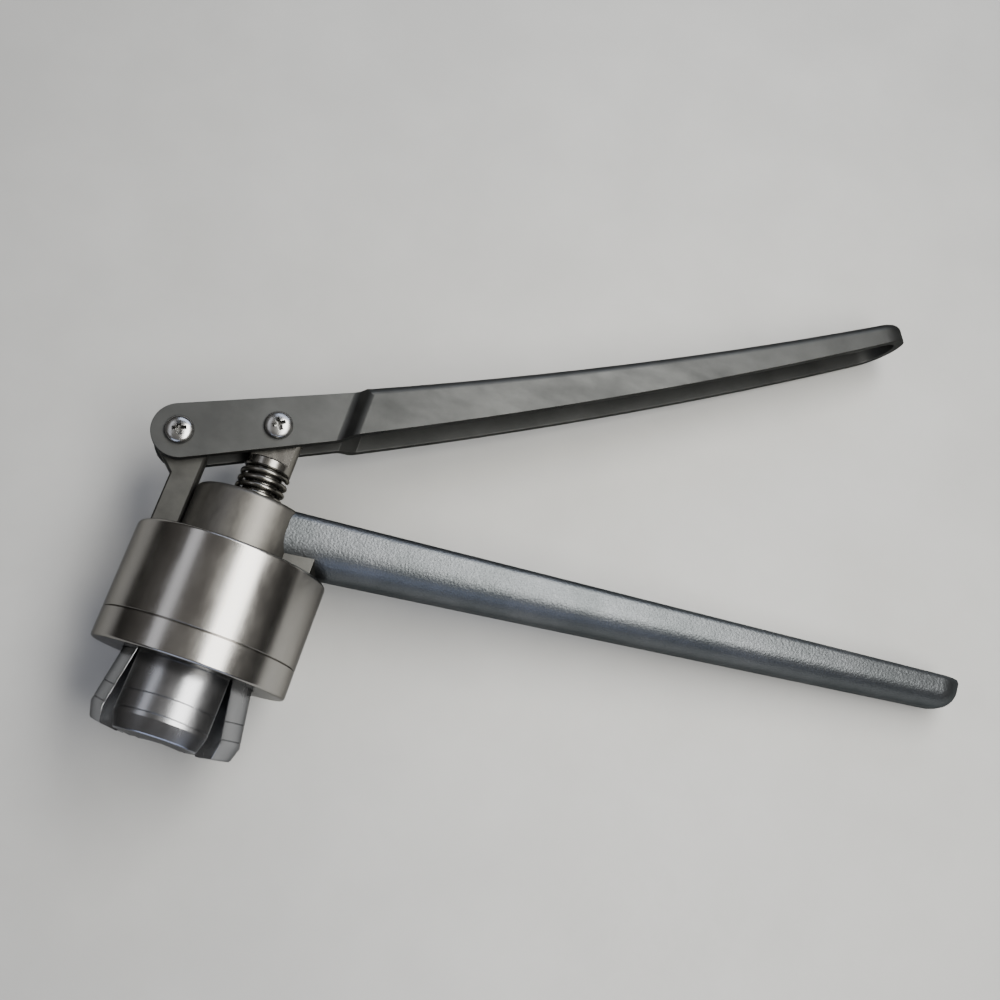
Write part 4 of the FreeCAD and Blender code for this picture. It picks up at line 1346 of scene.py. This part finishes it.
@dataclass
class PanScrews:
    """Four plated pan-head screws with a cross recess, one modelled and three copied."""

    bench: Bench
    radius: float = 4.0
    height: float = 2.4
    rim: float = 0.84
    foot_edge: float = 0.25
    shank: float = 0.6
    shank_inset: float = 1.6
    recess: float = 5.0
    slot: float = 1.45
    depth: float = 2.0
    recess_taper: tuple[float, float, float] = (0.45, 1.0, 0.35)
    edge: float = 0.09
    segments: int = 64
    turns: dict[str, float] = field(default_factory=lambda: {
        "pivot_screw_front": 24.0, "link_screw_front": 38.0, "pivot_screw_back": 71.0, "link_screw_back": 12.0})

    def build(self, finishes: Finishes) -> None:
        """Turns one head, cuts its recess, and sets four of them on the pins.

        Args:
            finishes: The materials.
        """
        dome = [(self.radius * math.cos(t), self.rim + (self.height - self.rim) * math.sin(t))
                for t in [math.radians(10 * i) for i in range(9)]]
        shank_r = self.radius - self.shank_inset
        head = Workpiece.lathe("screw_blank", [
            (0, -self.shank), (shank_r, -self.shank), (shank_r, 0), (self.radius - self.foot_edge, 0),
            (self.radius, self.foot_edge), *dome, (0, self.height)], self.segments)
        for turn in (0, 90):
            blade = Workpiece.block("blade", (-self.recess / 2, self.height - self.depth, -self.slot / 2),
                                    (self.recess / 2, self.height + 1, self.slot / 2))
            with blade.editing(Element.VERT):
                blade.pick(lambda p: p.y < self.height)
                bpy.ops.transform.resize(value=self.recess_taper, center_override=(0, 0, 0))
            blade.place(Matrix.Rotation(math.radians(turn), 4, "Y"))
            head.cut(blade)
        head.soften(self.edge, 2, 40)
        for number, (name, turn) in enumerate(self.turns.items()):
            low, high = self.bench.span(name)
            front = high.z > 0
            seat = (high.z if front else -low.z) - self.height
            middle = self.bench.centre(name)
            piece = head if number == len(self.turns) - 1 else head.copy(name + "_pan")
            piece.obj.name = piece.obj.data.name = name + "_pan"
            face = Matrix.Identity(4) if front else Matrix.Rotation(math.pi, 4, "X")
            lift = Matrix.Translation(Vector((middle.x, middle.y, seat if front else -seat)) * MM)
            piece.place(lift @ face @ Matrix.Rotation(math.radians(turn), 4, "Z")
                        @ Matrix.Rotation(math.pi / 2, 4, "X"))
            self.bench.fit(piece, "upper_handle_body", finishes.screw, "screw_steel", [name])


@dataclass(frozen=True)
class Softbox:
    """A rectangular lamp: its place and size in metres, its power in watts and its colour."""

    name: str
    place: tuple[float, float, float]
    size: tuple[float, float]
    watts: float
    colour: str


@dataclass
class Studio:
    """Worktop, camera and soft light."""

    bench: Bench
    lens: float = 40.25
    place: tuple[float, float, float] = (56.34, -14.40, 310.88)
    azimuth: float = 5.66
    elevation: float = 73.03
    roll: float = 24.12
    sensor: float = 36.0
    clip: tuple[float, float] = (0.01, 20.0)
    worktop_size: float = 4.0
    worktop_middle: tuple[float, float] = (0.1, 0.1)
    aim: tuple[float, float, float] = (0.02, 0.06, 0.0)
    boxes: tuple[Softbox, ...] = (
        Softbox("key_softbox", (0.22, 0.12, 0.40), (0.60, 0.20), 4.0, "#fffdf8"),
        Softbox("left_strip", (-0.31, 0.06, 0.42), (0.60, 0.12), 0.30, "#f4f6ff"),
        Softbox("far_panel", (0.05, 0.60, 0.40), (0.60, 0.20), 0.9, "#d8e4ff"),
        Softbox("near_panel", (0.06, -0.50, 0.22), (0.70, 0.22), 0.9, "#cfdcff"))
    room: str = "#cdc8c2"
    room_heights: tuple[float, float] = (0.1, 1.0)
    room_strengths: tuple[float, float] = (0.07, 0.34)

    def build(self, finishes: Finishes, floor_z: float) -> None:
        """Lays the worktop, sets the camera and hangs the lights.

        Args:
            finishes: The materials.
            floor_z: The worktop's height in metres.
        """
        deselect()
        bpy.ops.mesh.primitive_grid_add(x_subdivisions=8, y_subdivisions=8, size=self.worktop_size,
                                        location=(*self.worktop_middle, floor_z))
        top = Workpiece("worktop")
        top.obj.data.materials.append(finishes.worktop)
        top.obj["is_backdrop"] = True
        self.camera()
        self.lights()

    def camera(self) -> None:
        """Sets the camera at its place, looking down on the tool with a roll."""
        data = bpy.data.cameras.new("camera")
        data.lens, data.sensor_width = self.lens, self.sensor
        data.clip_start, data.clip_end = self.clip
        camera = bpy.data.objects.new("camera", data)
        bpy.context.scene.collection.objects.link(camera)
        a, e = math.radians(self.azimuth), math.radians(self.elevation)
        ahead = Vector((math.sin(a) * math.cos(e), math.cos(a) * math.cos(e), -math.sin(e)))
        level = ahead.cross(Vector((0, 0, 1))).normalized()
        above = level.cross(ahead)
        r = math.radians(self.roll)
        right = level * math.cos(r) + above * math.sin(r)
        up = right.cross(ahead)
        turn = Matrix((right, up, -ahead)).transposed().to_4x4()
        camera.matrix_world = Matrix.Translation(Vector(self.place) * MM) @ turn
        bpy.context.scene.camera = camera

    def lights(self) -> None:
        """Hangs the softboxes and sets the room's dim light."""
        target = Vector(self.aim)
        for box in self.boxes:
            light = bpy.data.lights.new(box.name, "AREA")
            light.shape = "RECTANGLE"
            light.size, light.size_y = box.size
            light.energy = box.watts
            light.color = linear(box.colour)[:3]
            lamp = bpy.data.objects.new(box.name, light)
            bpy.context.scene.collection.objects.link(lamp)
            lamp.location = box.place
            lamp.rotation_euler = (target - Vector(box.place)).to_track_quat("-Z", "Y").to_euler()
        world = bpy.data.worlds.new("room")
        world.use_nodes = True
        tree = world.node_tree
        sky = tree.nodes["Background"]
        sky.inputs["Color"].default_value = linear(self.room)
        way = add_node(tree, "ShaderNodeTexCoord").outputs["Generated"]
        height = add_node(tree, "ShaderNodeSeparateXYZ", {"Vector": way}).outputs["Z"]
        low, high = self.room_heights
        dim, bright = self.room_strengths
        glow = add_node(tree, "ShaderNodeMapRange", {"Value": height, "From Min": low, "From Max": high,
                                                     "To Min": dim, "To Max": bright})
        tree.links.new(glow.outputs["Result"], sky.inputs["Strength"])
        bpy.context.scene.world = world


def main() -> None:
    """Builds the tool's looks in order."""
    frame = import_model()
    cad_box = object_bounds()
    logging.basicConfig(level=logging.INFO, format="%(message)s")
    bench = Bench(frame)
    finishes = Finishes()
    BellHead(bench).build(finishes)
    JawSet(bench).build(finishes)
    LowerHandle(bench).build(finishes)
    handle = UpperHandle(bench)
    handle.build(finishes)
    PlungerGroup(bench, handle).build(finishes)
    PanScrews(bench).build(finishes)
    bench.dress(finishes.arm, "arm_steel", "side_arm")
    bench.dress(finishes.bright, "bright_steel", "pivot_pin", "link_pin", "arm_dowel_outer", "arm_dowel_inner",
                "anvil")
    bench.dress(finishes.dark, "dark_steel", "wedge_cone", "anvil_lock_nut", "plunger_circlip", "spring_washer")
    bench.dress(finishes.bronze, "bronze", "boss_bush", "pivot_washer_front", "pivot_washer_back")
    bench.dress(finishes.nitrile, "nitrile", "jaw_o_ring")
    Studio(bench).build(finishes, cad_box[0].z)


if __name__ == "__main__":
    main()
